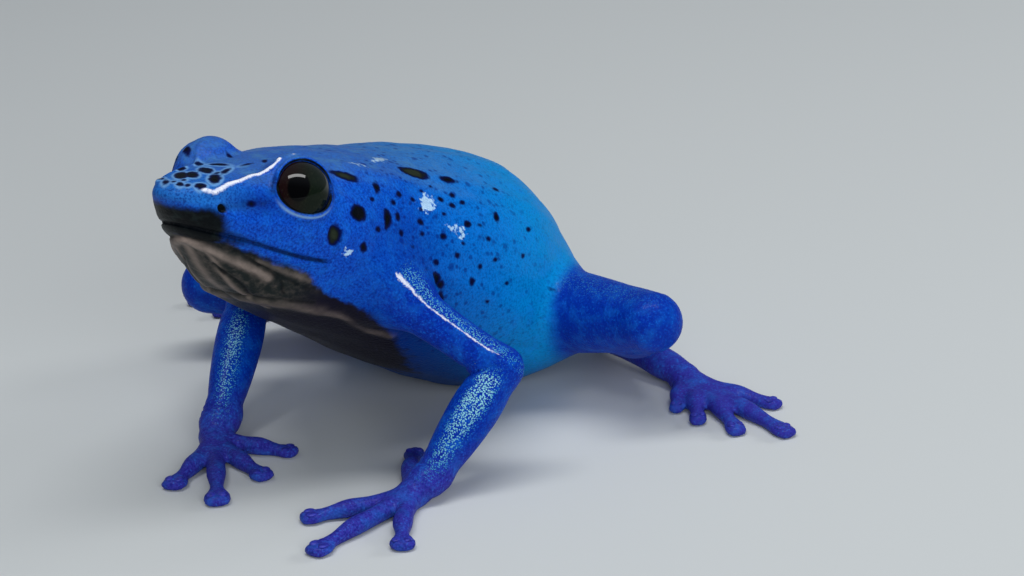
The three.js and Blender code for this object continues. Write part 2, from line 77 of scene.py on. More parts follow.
@dataclass(frozen=True)
class Profile:
    """A smooth curve through (place, value) pairs, straight beyond both ends."""

    pairs: tuple[tuple[float, float], ...]

    def __call__(self, place: Array | float) -> Array:
        """The curve's values.

        Args:
            place: where along the curve, any shape.

        Returns:
            The values there, in the same shape.
        """
        places = np.array([pair[0] for pair in self.pairs])
        values = np.array([pair[1] for pair in self.pairs])
        between = np.diff(values) / np.diff(places)
        slopes = np.concatenate([between[:1], (between[:-1] + between[1:]) / 2, between[-1:]])
        place = np.asarray(place, float)
        i = np.clip(np.searchsorted(places, place) - 1, 0, len(places) - 2)
        span = places[i + 1] - places[i]
        s = np.clip((place - places[i]) / span, 0, 1)
        rise = (values[i + 1] - values[i]) * s * s * (3 - 2 * s)
        bend = span * s * (1 - s) * ((1 - s) * slopes[i] - s * slopes[i + 1])
        before = slopes[0] * np.minimum(place - places[0], 0)
        after = slopes[-1] * np.maximum(place - places[-1], 0)
        return values[i] + rise + bend + before + after


def soft_min(a: Array, b: Array, blend: Array | float) -> Array:
    """The lower of two values, rounded over where they come within `blend` of each other."""
    blend = np.maximum(blend, 1e-6)
    h = np.maximum(blend - np.abs(a - b), 0) / blend
    return np.minimum(a, b) - h * h * blend / 4


def soft_max(a: Array, b: Array, blend: Array | float) -> Array:
    """The higher of two values, rounded over in the same way."""
    return -soft_min(-a, -b, blend)


def smooth(value: Array, low: float, high: float) -> Array:
    """Rises from 0 to 1 as the value goes from low to high, or falls if low is above high."""
    s = np.clip((value - low) / (high - low), 0, 1)
    return s * s * (3 - 2 * s)


def bell(distance: Array, width: float) -> Array:
    """1 at no distance, falling away on both sides within about twice the width."""
    return np.exp(-np.square(distance / width))


@dataclass(frozen=True)
class Ramp:
    """Goes from 0 at the start to its height at the end, which may be the lower of the two."""

    start: float
    end: float
    height: float = 1.0

    def __call__(self, value: Array) -> Array:
        """The ramp's height at each value."""
        return self.height * smooth(value, self.start, self.end)


@dataclass(frozen=True)
class Peak:
    """Stands out at one place and falls away on both sides of it."""

    place: float
    width: float
    height: float = 1.0

    def __call__(self, value: Array) -> Array:
        """The peak's height at each value."""
        return self.height * bell(value - self.place, self.width)


def unit(vector: Sequence[float]) -> Array:
    """The vector at a length of 1."""
    v = np.asarray(vector, float)
    return v / np.linalg.norm(v)


# The stance


@dataclass(frozen=True)
class Stance:
    """How the body frame is tilted and lifted over the floor."""

    head_raise: float = math.radians(21.5)
    pivot_y: float = 20.0
    pivot_height: float = 15.2
    shift: tuple[float, float] = (-0.665, -2.28)

    def to_body(self, p: Array) -> Array:
        """Points of the floor frame, in the body frame."""
        c, s = math.cos(self.head_raise), math.sin(self.head_raise)
        y = p[:, 1] - self.shift[1]
        z = p[:, 2] - self.pivot_height
        return np.stack([p[:, 0] - self.shift[0], y * c - z * s + self.pivot_y, y * s + z * c], 1)

    def to_floor(self, p: Array) -> Array:
        """Points of the body frame, in the floor frame."""
        c, s = math.cos(self.head_raise), math.sin(self.head_raise)
        y = p[:, 1] - self.pivot_y
        x = p[:, 0] + self.shift[0]
        height = p[:, 2] * c - y * s + self.pivot_height
        return np.stack([x, y * c + p[:, 2] * s + self.shift[1], height], 1)

    def place(self, point: Triple) -> Array:
        """A joint of the limbs, given over the floor before the shift."""
        return np.array(point, float) + np.array([*self.shift, 0.0])


# Head and trunk, in the body frame


@dataclass(frozen=True)
class Head:
    """The head: flat crown, sloping cheeks, blunt snout and rounded jaw."""

    crown_height: Profile = Profile(
        ((0, 2.8), (2, 3.45), (5, 4.3), (8, 5.1), (11, 5.6), (14, 5.8), (17, 5.7))
    )
    canthus_half: Profile = Profile(
        ((0, 1.7), (2, 2.4), (4, 3.0), (6, 3.7), (9, 4.9), (12, 5.7), (17, 5.8))
    )
    lip_half: Profile = Profile(
        ((0, 1.8), (2, 3.1), (5, 4.8), (8, 6.1), (11, 6.8), (14, 6.9), (17, 6.5))
    )
    jaw_depth: Profile = Profile(
        ((0, 0.6), (3, 1.95), (6, 3.15), (9, 4.25), (12, 5.1), (14, 5.45), (17, 5.5))
    )
    mouth_height: Profile = Profile(((2, 0.28), (5, -0.12), (7, -0.5), (9, -0.78), (11, -0.88)))
    edge_rounding: Profile = Profile(((0, 0.5), (6, 0.8), (10, 1.8), (15, 3.0)))
    lip_z: float = 0.15
    crown_fall: float = 0.035
    loreal_hollow: float = 0.28
    loreal_end_y: float = 7.0
    loreal_fade: float = 3.0
    snout_lean: float = 0.28
    chin_slope: float = 1.1
    chin_rounding: float = 0.15
    snout_tip_z: float = 2.3
    snout_rounding: float = 0.2
    snout_blend: float = 0.45
    rear_y: float = 19.0
    jaw_power: float = 2.3
    wall_slope: float = 0.9
    front_slope: float = 0.75
    jaw_blend: float = 0.5
    rear_blend: float = 2.0

    def field(self, p: Array) -> Array:
        """Distance-like value of the head, negative inside."""
        side, y, z = np.abs(p[:, 0]), p[:, 1], p[:, 2]
        crown_z = self.crown_height(y)
        lip_x = self.lip_half(y)
        crown = z - crown_z + self.crown_fall * side * side
        rise = np.clip((z - self.lip_z) / (crown_z - self.lip_z), 0, 1.2)
        share = np.clip((self.loreal_end_y - y) / self.loreal_fade, 0, 1)
        hollow = self.loreal_hollow * np.sin(np.pi * np.clip(rise, 0, 1)) * share
        wall = lip_x + (self.canthus_half(y) - lip_x) * rise - hollow
        cheek = (side - wall) * self.wall_slope
        above = z - self.snout_tip_z
        chin = self.chin_slope * (np.hypot(above, self.chin_rounding) - self.chin_rounding)
        lean = np.where(above > 0, self.snout_lean * above * above, chin)
        front = (lean + self.snout_rounding * side * side - y) * self.front_slope
        depth = self.jaw_depth(y)
        across = np.power(side / np.maximum(lip_x, 0.1), self.jaw_power)
        drop = np.maximum(self.lip_z - z, 0) / np.maximum(depth + self.lip_z, 0.1)
        jaw = (np.power(across + np.power(drop, self.jaw_power), 1 / self.jaw_power) - 1) * depth
        upper = soft_max(crown, cheek, self.edge_rounding(np.clip(y, 0, 15)))
        whole = soft_max(soft_max(upper, front, self.snout_blend), jaw, self.jaw_blend)
        return soft_max(whole, y - self.rear_y, self.rear_blend)


@dataclass(frozen=True)
class Trunk:
    """The trunk: rounded sections that close over the rump."""

    back_height: Profile = Profile(
        ((10, 5.4), (14, 6.1), (18, 6.7), (23, 7.3), (28, 7.7), (33, 7.7), (38, 6.6), (44, 4.4))
    )
    belly_depth: Profile = Profile(
        ((10, 4.6), (14, 5.6), (18, 6.8), (24, 8.4), (30, 9.5), (36, 10.4), (44, 9.6))
    )
    flank_half: Profile = Profile(
        ((10, 6.8), (14, 7.35), (18, 8.2), (23, 9.6), (28, 10.6), (33, 11.0), (38, 10.4), (44, 9.0))
    )
    axis: Profile = Profile(((14, -0.2), (24, -1.0), (30, -2.2), (36, -3.3), (44, -4.4)))
    power: float = 2.15
    front_y: float = 5.0
    front_reach: float = 12.0
    rear_y: float = 32.0
    rear_reach: float = 14.0

    def field(self, p: Array) -> Array:
        """Distance-like value of the trunk, negative inside."""
        x, y, z = p[:, 0], p[:, 1], p[:, 2]
        centre = self.axis(y)
        above = self.back_height(y) - centre
        below = self.belly_depth(y) + centre
        height = np.maximum(np.where(z > centre, above, below), 0.5)
        width = np.maximum(self.flank_half(y), 0.5)
        rear = np.maximum(y - self.rear_y, 0) / self.rear_reach
        fore = np.maximum(self.front_y + self.front_reach - y, 0) / self.front_reach
        terms = (np.abs(x) / width, np.abs(z - centre) / height, rear, fore)
        total = sum(np.power(term, self.power) for term in terms)
        return (np.power(total, 1 / self.power) - 1) * np.minimum(width, height)


@dataclass(frozen=True)
class Lids:
    """The flesh, the rims and the brows of the lids round both eyes."""

    eye_radius: float = 2.3
    eye_place: Triple = (4.5, 8.85, 3.68)
    look: Triple = (0.87, -0.4, 0.28)
    far_look: Triple = (0.95, 0.02, 0.28)
    far_shift: Triple = (-0.4, 0.1, -0.02)
    cover: float = 0.58
    seat: float = 0.85
    far_seat: float = 1.45
    lower_rise: float = 0.52
    far_lower_rise: float = 0.28
    lower_power: float = 1.5
    thin: float = 0.12
    upper_rim: float = 0.2
    lower_rim: float = 0.12
    brow: float = 0.1
    flesh_blend: float = 0.3
    edge_blend: float = 0.12
    rim_blend: float = 0.1
    thickening: Ramp = Ramp(0.0, 1.3)
    upper_half: Ramp = Ramp(-0.1, 0.6)
    lower_half: Ramp = Ramp(0.0, -0.6)
    brow_line: Peak = Peak(0.75, 0.3)
    lower_wrinkles: tuple[tuple[float, float], ...] = ((0.55, 0.09), (0.95, 0.06))
    wrinkle_width: float = 0.12
    rim_out: float = 0.6
    rim_back: float = 0.3

    def around(self, p: Array) -> "EyeView":
        """Where points are as seen from the centre of the nearer eye."""
        on_far_side = p[:, 0] < 0
        shift = np.where(on_far_side[:, None], self.far_shift, 0.0)
        mirrored = np.stack([np.abs(p[:, 0]), p[:, 1], p[:, 2]], 1)
        offset = mirrored - np.array(self.eye_place) - shift
        look = np.where(on_far_side[:, None], unit(self.far_look), unit(self.look))
        up = np.array([0.0, 0.0, 1.0]) - look * look[:, 2:]
        up = up / np.linalg.norm(up, axis=1)[:, None]
        far = np.linalg.norm(offset, axis=1)
        ahead = np.sum(offset * look, axis=1)
        high = np.sum(offset * up, axis=1)
        front = np.sum(offset * np.cross(look, up), axis=1)
        out = np.maximum(np.hypot(high, front), 1e-6)
        low = np.power(np.clip(-high / out, 0, 1), self.lower_power)
        seat = np.where(on_far_side, self.far_seat, self.seat)
        rise = np.where(on_far_side, self.far_lower_rise, self.lower_rise)
        edge = np.arccos((seat + rise * low) / self.eye_radius)
        beyond = self.eye_radius * (np.arctan2(out, ahead) - edge)
        return EyeView(far, ahead - seat, beyond, high / out)

    def flesh(self, p: Array) -> Array:
        """The plain flesh of the lids: a ball that stops at their edge."""
        view = self.around(p)
        return soft_max(view.far - self.eye_radius - self.cover, view.ahead, self.flesh_blend)

    def folded(self, p: Array) -> Array:
        """The lids with their thin edges, rolled rims and brows."""
        view = self.around(p)
        beyond = view.beyond
        thickness = self.thin + (self.cover - self.thin) * self.thickening(beyond)
        upper = self.upper_half(view.high)
        lower = self.lower_half(view.high)
        thickness = thickness + self.brow * upper * self.brow_line(beyond)
        for place, depth in self.lower_wrinkles:
            thickness = thickness - depth * lower * bell(beyond - place, self.wrinkle_width)
        flesh = soft_max(view.far - self.eye_radius - thickness, -beyond, self.edge_blend)
        size = self.lower_rim + (self.upper_rim - self.lower_rim) * upper
        out = view.far - self.eye_radius - self.rim_out * size
        rim = np.hypot(out, beyond - self.rim_back * size) - size
        return soft_min(flesh, rim, self.rim_blend)


@dataclass(frozen=True)
class EyeView:
    """Points seen from an eye's centre.

    far is the distance, ahead how far they are past the plane of the lids' edge, beyond how far
    back from that edge they are along the ball, and high which way round they are: 1 above the
    eye, -1 below it.
    """

    far: Array
    ahead: Array
    beyond: Array
    high: Array


# Folds, ridges and spots that lie on the body


@dataclass(frozen=True)
class Crease:
    """A line on the body that is raised, or sunk where the height is below 0.

    Each stop is (mm back from the snout, degrees round from the spine).
    """

    stops: tuple[tuple[float, float], ...]
    width: float
    height: float
    # pale is the skin's own pale grey, partly painted highlight on raised folds; dark is painted shade
    # along sunk lines; gleam is a painted highlight.
    pale: float = 0.0
    dark: float = 0.0
    gleam: float = 0.0


@dataclass(frozen=True)
class Spot:
    """A spot, black or a painted glint: mm back from the snout, degrees round to the left, half sizes and
    turn.
    """

    y: float
    around: float
    long: float
    wide: float
    turn: float = 0.0


def spots(*rows: tuple[float, ...]) -> tuple[Spot, ...]:
    """Spots from rows of their sizes."""
    return tuple(Spot(*row) for row in rows)


class BodyForm:
    """Head, trunk and lids together, in the body frame."""

    axis_stops: Profile = Profile(((2.6, 1.1), (14.5, 0.4), (32.0, -2.4)))
    head_blend: float = 2.5
    lid_blend: float = 0.9
    search_reach: float = 20.0
    search_steps: int = 24

    def __init__(self) -> None:
        """Sets up the parts."""
        self.head = Head()
        self.trunk = Trunk()
        self.lids = Lids()

    def field(self, p: Array) -> Array:
        """Distance-like value of the body without its fine relief."""
        return soft_min(self.skull(p), self.lids.flesh(p), self.lid_blend)

    def skull(self, p: Array) -> Array:
        """Distance-like value of head and trunk without the lids."""
        return soft_min(self.head.field(p), self.trunk.field(p), self.head_blend)

    def surface(self, y: Array, around: Array) -> tuple[Array, Array]:
        """Points of the surface beside the body's axis.

        Args:
            y: how far back from the snout.
            around: degrees round from the spine, to the left.

        Returns:
            The points, and the unit vectors that point out there from the axis.
        """
        turn = np.radians(around)
        start = np.stack([np.zeros_like(y), y, self.axis_stops(y)], 1)
        way = np.stack([np.sin(turn), np.zeros_like(y), np.cos(turn)], 1)
        near, far = np.zeros_like(y), np.full_like(y, self.search_reach)
        for _ in range(self.search_steps):
            middle = (near + far) / 2
            inside = self.field(start + way * middle[:, None]) < 0
            near, far = np.where(inside, middle, near), np.where(inside, far, middle)
        return start + way * near[:, None], way


def line_distance(p: Array, stops: Array) -> Array:
    """The distance from points to a line of straight pieces.

    Args:
        p: the points, N by 3.
        stops: the line's points, M by 3.

    Returns:
        N distances.
    """
    nearest = np.full(len(p), 1e3)
    for a, b in zip(stops[:-1], stops[1:]):
        along = b - a
        place = np.clip((p - a) @ along / (along @ along), 0, 1)
        nearest = np.minimum(nearest, np.linalg.norm(p - a - place[:, None] * along, axis=1))
    return nearest


# Limbs, in the floor frame


@dataclass(frozen=True)
class Segment:
    """One length of a limb between two joints, wider than high by `widen`."""

    start: Array
    end: Array
    radii: Profile
    widen: float = 1.0

    def field(self, p: Array) -> Array:
        """Distance-like value of the segment."""
        along = self.end - self.start
        length = np.linalg.norm(along)
        along = along / length
        sideways = unit(np.cross([0.0, 0.0, 1.0], along))
        place = np.clip((p - self.start) @ along / length, 0, 1)
        offset = p - self.start - place[:, None] * length * along
        side = offset @ sideways
        rest = np.maximum(np.sum(offset * offset, 1) - side * side, 0)
        return np.sqrt(rest + np.square(side / self.widen)) - self.radii(place)

    def reach(self) -> tuple[Array, Array]:
        """The lowest and highest corner of the segment's box."""
        size = max(pair[1] for pair in self.radii.pairs) * self.widen
        return np.minimum(self.start, self.end) - size, np.maximum(self.start, self.end) + size


@dataclass(frozen=True)
class Digit:
    """A finger or toe that lies on the floor, bent a little, with a disc at its tip."""

    root: Array
    degrees: float
    length: float
    disc: float
    bend: float
    heights: Profile = Profile(((0, 0.85), (0.4, 0.64), (0.62, 0.66), (0.84, 0.46), (1, 0.4)))
    width_stops: tuple = ((0, 0.88), (0.35, 0.66), (0.6, 0.72), (0.82, 0.52))
    disc_place: float = 0.94
    tip_share: float = 0.9
    sole_sink: float = 0.8
    lift: float = 0.1
    box_margin: float = 1.2

    def widths(self, place: Array) -> Array:
        """Half the digit's width along it."""
        tip = ((self.disc_place, self.disc), (1, self.tip_share * self.disc))
        return Profile((*self.width_stops, *tip))(place)

    def axes(self) -> tuple[Array, Array]:
        """The way it points and the way to its side."""
        turn = math.radians(self.degrees)
        ahead = np.array([math.sin(turn), -math.cos(turn), 0.0])
        return ahead, np.array([math.cos(turn), math.sin(turn), 0.0])

    def centre(self, place: Array) -> Array:
        """Points along the middle of the digit."""
        ahead, side = self.axes()
        bow = self.bend * self.length * np.sin(np.pi * place)
        line = self.root + np.outer(self.length * place, ahead) + np.outer(bow, side)
        line[:, 2] = self.heights(place) * self.sole_sink + self.lift * np.sin(np.pi * place)
        return line

    def field(self, p: Array) -> Array:
        """Distance-like value of the digit."""
        ahead, side = self.axes()
        place = np.clip((p - self.root) @ ahead / self.length, 0, 1)
        offset = p - self.centre(place)
        width, height = self.widths(place), self.heights(place)
        across = offset @ side / width
        onward = offset @ ahead / height
        upward = offset[:, 2] / height
        far = np.sqrt(across * across + onward * onward + upward * upward)
        return (far - 1) * np.minimum(width, height)

    def reach(self) -> tuple[Array, Array]:
        """The lowest and highest corner of the digit's box."""
        line = self.centre(np.linspace(0, 1, 9))
        return line.min(0) - self.box_margin, line.max(0) + self.box_margin


@dataclass(frozen=True)
class Limb:
    """A limb: its segments and digits from the body outwards, with the blend at each joint."""

    segments: tuple[Segment, ...]
    joint_blends: tuple[float, ...]
    digits: tuple[Digit, ...]
    root_blend: float
    root_reach: float
    digit_blend: float = 0.5
    margin: float = 2.5
    fold_places: tuple[tuple[float, float], ...] = ((0.0, 1.0), (-0.4, 0.5), (0.42, 0.45))
    fold_width: float = 0.16
    fold_depth: float = 0.2
    fold_reach: tuple[float, float] = (2.6, 1.6)
    fold_inner: Ramp = Ramp(-0.5, 0.5)
    root_shares: tuple[float, float] = (1.5, 0.6)
    far_value: float = 5.0

    def field(self, p: Array) -> Array:
        """Distance-like value of the whole limb, large where it is far away."""
        parts = [*self.segments, *self.digits]
        blends = [*self.joint_blends, *(self.digit_blend for _ in self.digits)]
        value = np.full(len(p), self.far_value)
        for part, blend in zip(parts, (0.1, *blends)):
            low, high = part.reach()
            near = np.all((p > low - self.margin) & (p < high + self.margin), axis=1)
            if near.any():
                value[near] = soft_min(value[near], part.field(p[near]), blend)
        return value + self._folds(p)

    def _folds(self, p: Array) -> Array:
        """How deep the skin is folded on the inside of each bent joint."""
        depth = np.zeros(len(p))
        for first, second in zip(self.segments[:-1], self.segments[1:]):
            before, after = unit(first.end - first.start), unit(second.end - second.start)
            radius = float(second.radii(0.0))
            offset = p - first.end
            along = offset @ unit(before + after)
            inner = offset @ unit(after - before) / radius
            outer, inmost = (share * radius for share in self.fold_reach)
            near = smooth(np.linalg.norm(offset, axis=1), outer, inmost)
            for place, share in self.fold_places:
                groove = share * bell(along - place * radius, self.fold_width)
                depth += self.fold_depth * groove * self.fold_inner(inner) * near
        return depth

    def blend(self, p: Array) -> Array:
        """How softly the limb joins the body, from full at its root to none further out."""
        far = np.linalg.norm(p - self.segments[0].start, axis=1)
        outer, inmost = (share * self.root_reach for share in self.root_shares)
        return self.root_blend * smooth(far, outer, inmost)


class Side(Enum):
    """The frog's own left and right."""

    LEFT = 1
    RIGHT = -1

    @property
    def label(self) -> str:
        """The word in the names of nodes and pieces."""
        return self.name.lower()


@dataclass(frozen=True)
class LimbPlan:
    """A limb's four joints over the floor and its digits as (heading, length, disc, bend)."""

    root: Triple
    bend: Triple
    ankle: Triple
    sole: Triple
    digits: tuple[tuple[float, float, float, float], ...]
    radii: tuple[Profile, Profile, Profile]
    joint_blends: tuple[float, float]
    root_blend: float
    root_reach: float
    sole_widen: float

    def limb(self, stance: Stance) -> Limb:
        """The limb as it stands in the stance."""
        joints = [stance.place(joint) for joint in (self.root, self.bend, self.ankle, self.sole)]
        widths = (1.0, 1.0, self.sole_widen)
        segments = tuple(map(Segment, joints, joints[1:], self.radii, widths))
        digits = tuple(Digit(joints[3], *digit) for digit in self.digits)
        return Limb(segments, self.joint_blends, digits, self.root_blend, self.root_reach)


@dataclass(frozen=True)
class Arm(LimbPlan):
    """An arm from the shoulder by elbow and wrist to the palm."""

    radii: tuple[Profile, Profile, Profile] = (
        Profile(((0, 2.2), (0.35, 1.65), (0.7, 1.5), (1, 1.6))),
        Profile(((0, 1.45), (0.3, 1.8), (0.65, 1.65), (1, 1.2))),
        Profile(((0, 1.25), (0.45, 1.25), (1, 0.95))),
    )
    joint_blends: tuple[float, float] = (0.7, 0.7)
    root_blend: float = 3.0
    root_reach: float = 4.5
    sole_widen: float = 1.25


@dataclass(frozen=True)
class Leg(LimbPlan):
    """A leg from the hip by knee and heel to the sole."""

    radii: tuple[Profile, Profile, Profile] = (
        Profile(((0, 3.6), (0.3, 3.3), (0.7, 2.7), (1, 2.1))),
        Profile(((0, 2.0), (0.35, 2.5), (0.7, 1.9), (1, 1.35))),
        Profile(((0, 1.35), (0.5, 1.1), (0.8, 1.1), (1, 0.9))),
    )
    joint_blends: tuple[float, float] = (0.9, 0.8)
    root_blend: float = 2.6
    root_reach: float = 9.0
    sole_widen: float = 1.2


ARMS = {
    Side.LEFT: Arm(
        (7.2, -3.4, 14.0), (15.2, -0.9, 8.3), (12.9, -6.7, 1.75), (12.3, -8.4, 0.9),
        ((-143, 8.5, 0.8, 0.03), (-38, 8, 0.9, 0.04), (-4, 10.5, 1.0, 0), (32, 8, 0.95, -0.04)),
    ),
    Side.RIGHT: Arm(
        (-7.2, -3.4, 14.0), (-11.8, 3.1, 7.7), (-8.0, -5.5, 1.8), (-7.4, -7.2, 0.9),
        ((102, 6.5, 0.8, -0.05), (67, 8, 0.9, -0.04), (41, 11, 1.0, 0), (17, 8, 0.95, 0.04)),
    ),
}
LEGS = {
    Side.LEFT: Leg(
        (4.5, 15.5, 5.6), (20.4, 10.8, 8.6), (8.0, 21.8, 1.8), (17.5, 18.6, 1.0),
        (
            (27, 5, 0.58, 0), (42, 7.5, 0.68, 0.03), (56, 10.5, 0.76, 0.03),
            (70, 13, 0.8, 0), (88, 8.5, 0.7, -0.04),
        ),
    ),
    Side.RIGHT: Leg(
        (-4.5, 15.5, 5.6), (-19.6, 7.4, 5.8), (-7.5, 22.3, 1.8), (-16.5, 20.0, 1.0),
        (
            (-22, 5, 0.58, 0), (-38, 7.5, 0.68, -0.03), (-52, 10.5, 0.76, -0.03),
            (-66, 13, 0.8, 0), (-84, 8.5, 0.7, 0.04),
        ),
    ),
}


# The whole frog as one form


CREASES = (
    Crease(
        ((1.3, 48), (2.0, 54), (2.6, 50.5), (3.3, 45.5), (4.4, 43), (5.7, 37.5), (6.7, 38), (7.4, 34.6)),
        0.2, 0.15, gleam=1.0,
    ),
    Crease(((7.3, 35.2), (7.7, 34.8), (8.1, 34.8), (8.6, 34.2)), 0.17, 0.0, gleam=0.9),
    Crease(((2.55, 179), (2.8, 162), (3.5, 141), (5, 134), (6.5, 130), (7.6, 131)), 0.34, 0.22, 0.9),
    Crease(((3.3, 124), (4.6, 122), (6.2, 124), (7.6, 125), (8.6, 129), (9.3, 136)), 0.17, -0.16, 0, 0.8),
    Crease(((8.9, 171), (9.2, 155), (10.6, 142), (12.6, 136)), 0.55, 0.16, 0.34),
    Crease(((8.1, 176), (8.3, 156), (9.6, 141), (11.6, 132)), 0.22, -0.14, 0.0, 0.6),
    Crease(((12.6, 136), (15.5, 132), (18.5, 136), (20.4, 133)), 0.34, 0.26, 0.5),
    Crease(((4.6, 156), (5.5, 154), (6.3, 152), (7.1, 152), (8.2, 157)), 0.2, -0.15, 0.0, 0.8),
    Crease(((3.4, 147), (4.3, 151), (5.3, 157), (6.6, 160), (8.5, 160), (10.2, 158)), 0.24, 0.08, 0.6),
    Crease(((6.3, 121), (8.0, 120), (10.2, 119)), 0.24, 0.1, 0.3),
    Crease(((6.8, 125), (8.4, 125), (10.6, 125)), 0.2, -0.1, 0.0, 0.6),
    Crease(((2.8, 72.5), (3.7, 70), (4.65, 68), (5.9, 67)), 0.42, -0.05, 0.0, 0.4),
    Crease(((11.4, 62), (12.6, 72), (13.6, 88), (14.2, 102)), 0.45, 0.09),
    Crease(((15.0, 40), (18.5, 48)), 1.5, 0.2),
    Crease(((26.0, 20), (31.0, 22), (37.0, 20), (41.0, 14)), 1.1, 0.15),
    Crease(((16.5, 106), (18.5, 110), (20.5, 116)), 0.3, -0.1),
    Crease(((30.0, 112), (33.0, 108), (36.0, 100)), 0.4, -0.12),
)

SPOTS = spots(
    (13.2, 47, 1.2, 0.52, 25), (12.9, 72, 0.85, 0.68, 0), (10.65, 87, 0.82, 0.58, 85),
    (15.7, 54, 0.58, 0.34, -70), (15.9, 72, 0.85, 0.42, -75), (17.0, 70, 0.45, 0.24, -80),
    (21.2, 38.5, 1.35, 0.6, 22), (24.1, 42.5, 0.85, 0.36, 15), (17.7, 57, 0.32, 0.28),
    (18.9, 58.5, 0.28, 0.22), (20.4, 52, 0.24, 0.18), (21.7, 48, 0.2, 0.16),
    (22.0, 55.5, 0.32, 0.25), (23.3, 52.5, 0.3, 0.24), (22.8, 58, 0.32, 0.26),
    (24.0, 56, 0.28, 0.22), (23.7, 66.5, 0.36, 0.3), (27.1, 60, 0.46, 0.32, -80),
    (28.7, 45, 0.36, 0.24), (19.3, 70, 0.34, 0.26), (19.2, 76, 0.28, 0.22), (21.1, 75, 0.34, 0.26),
    (22.4, 82, 0.3, 0.24), (26.1, 79, 0.26, 0.2), (20.5, 88, 0.28, 0.22), (19.1, 92.5, 0.34, 0.26),
    (20.6, 95, 0.7, 0.42, 35), (21.2, 97, 0.42, 0.34), (21.7, 102, 0.5, 0.18, 55),
    (24.0, 91, 0.34, 0.28, 80), (25.8, 97, 0.22, 0.18), (13.3, 90.5, 0.4, 0.3, 80),
    (14.8, 79, 0.28, 0.22), (14.8, 62, 0.28, 0.2), (4.65, 68, 0.34, 0.24),
    (8.8, 14, 0.42, 0.2, -30), (6.64, -45, 0.55, 0.3, -50), (7.5, -43, 0.4, 0.26, -20),
    (16.9, 62, 0.26, 0.2), (17.2, 78, 0.28, 0.2, 60), (18.0, 84, 0.24, 0.18),
    (19.6, 63, 0.22, 0.18), (21.6, 64, 0.2, 0.16), (24.9, 66, 0.22, 0.18), (25.6, 71, 0.26, 0.2),
    (23.0, 76, 0.22, 0.17), (24.6, 84, 0.24, 0.19), (27.5, 87, 0.26, 0.2), (29.2, 74, 0.24, 0.19),
    (30.5, 62, 0.26, 0.2), (32.3, 84, 0.22, 0.17),
)

# Painted glints: pale patches where light glints off the wet skin; the coat is glossier there too.
WET_GLINT_SPOTS = spots(
    (20.4, 58.9, 1.0, 0.62, -32), (22.55, 70, 0.78, 0.36, 19), (22.9, 73.5, 0.5, 0.26, -30),
    (12.05, 94.9, 0.36, 0.26, 5), (15.6, 35.5, 0.8, 0.24, 14), (19.2, 26.7, 1.2, 0.38, -16),
    (24.0, -48, 0.7, 0.4, 20), (15.0, -62, 0.6, 0.32, -20),
)

OLIVE_SPOTS = (0, 2, 6)

SNOUT_SPOTS = spots(
    (2.6, -24, 1.15, 0.52, -38), (3.05, -11, 0.95, 0.52, -50), (4.45, -9, 0.98, 0.5, -56),
    (3.3, 26, 1.1, 0.44, -41), (1.5, 38, 0.54, 0.38, -48), (0.82, 11, 0.5, 0.26, -48),
    (1.0, 25, 0.3, 0.17, -45), (0.78, -26, 0.62, 0.24, -33), (1.05, -12, 0.28, 0.17, -41),
    (1.75, -2, 0.3, 0.2, -45), (5.85, -33, 0.52, 0.3, -39), (6.1, -11, 0.9, 0.36, 80),
    (5.1, 13, 0.8, 0.24, -21), (4.3, 12, 0.34, 0.2, -30), (7.15, 12, 0.6, 0.2, 2),
    (8.2, -20, 0.36, 0.2, -70), (4.4, -42, 0.62, 0.34, -25), (1.6, -46, 0.5, 0.3, -40),
)


@dataclass(frozen=True)
class SpotScatter:
    """Black spots strewn by chance over the sides that the first list leaves bare."""

    seed: int = 11
    count: int = 64
    y_range: tuple[float, float] = (10.5, 39.0)
    around_range: tuple[float, float] = (-112.0, -24.0)
    sizes: tuple[float, float] = (0.2, 1.0)
    tries: int = 40
    small_bias: float = 2.2
    large_ends: Ramp = Ramp(34, 20)
    width_shares: tuple[float, float] = (0.5, 0.85)
    turns: tuple[float, float] = (-80, 80)
    body_radius: float = 9.0
    gap: float = 0.5

    def spots(self) -> list[Spot]:
        """The spots, none touching another."""
        chance = np.random.default_rng(self.seed)
        kept: list[Spot] = []
        for _ in range(self.tries * self.count):
            y = chance.uniform(*self.y_range)
            around = chance.uniform(*self.around_range)
            share = chance.uniform(0, 1) ** self.small_bias * self.large_ends(np.array(y))
            long = self.sizes[0] + (self.sizes[1] - self.sizes[0]) * float(share)
            wide = long * chance.uniform(*self.width_shares)
            spot = Spot(y, around, long, wide, chance.uniform(*self.turns))
            if all(self._apart(spot, other) for other in kept):
                kept.append(spot)
            if len(kept) == self.count:
                break
        return kept

    def _apart(self, a: Spot, b: Spot) -> bool:
        """Whether two spots are clear of each other."""
        across = math.radians(a.around - b.around) * self.body_radius
        return math.hypot(a.y - b.y, across) > a.long + b.long + self.gap


class SpotGroup:
    """Spots that lie on the body, each a flat oval on the surface."""

    depth_share: float = 3.0
    far_value: float = 3.0
    margin: float = 1.0

    def __init__(self, body: BodyForm, spots: Sequence[Spot]) -> None:
        """Places the spots on the body."""
        self.spots = spots
        y = np.array([spot.y for spot in spots])
        self.centres, self.ways = body.surface(y, np.array([spot.around for spot in spots]))

    def distance(self, b: Array) -> Array:
        """How far points are outside the nearest spot, below 0 inside it."""
        nearest = np.full(len(b), self.far_value)
        back = np.array([0.0, 1.0, 0.0])
        for spot, centre, way in zip(self.spots, self.centres, self.ways):
            around = np.cross(back, way)
            turn = math.radians(spot.turn)
            long = math.cos(turn) * back + math.sin(turn) * around
            wide = math.cos(turn) * around - math.sin(turn) * back
            size = min(spot.long, spot.wide)
            near = np.all(np.abs(b - centre) < spot.long + self.margin, axis=1)
            offset = b[near] - centre
            shape = np.hypot(offset @ long / spot.long, offset @ wide / spot.wide)
            shape = np.hypot(shape, offset @ way / (self.depth_share * size))
            nearest[near] = np.minimum(nearest[near], (shape - 1) * size)
        return nearest


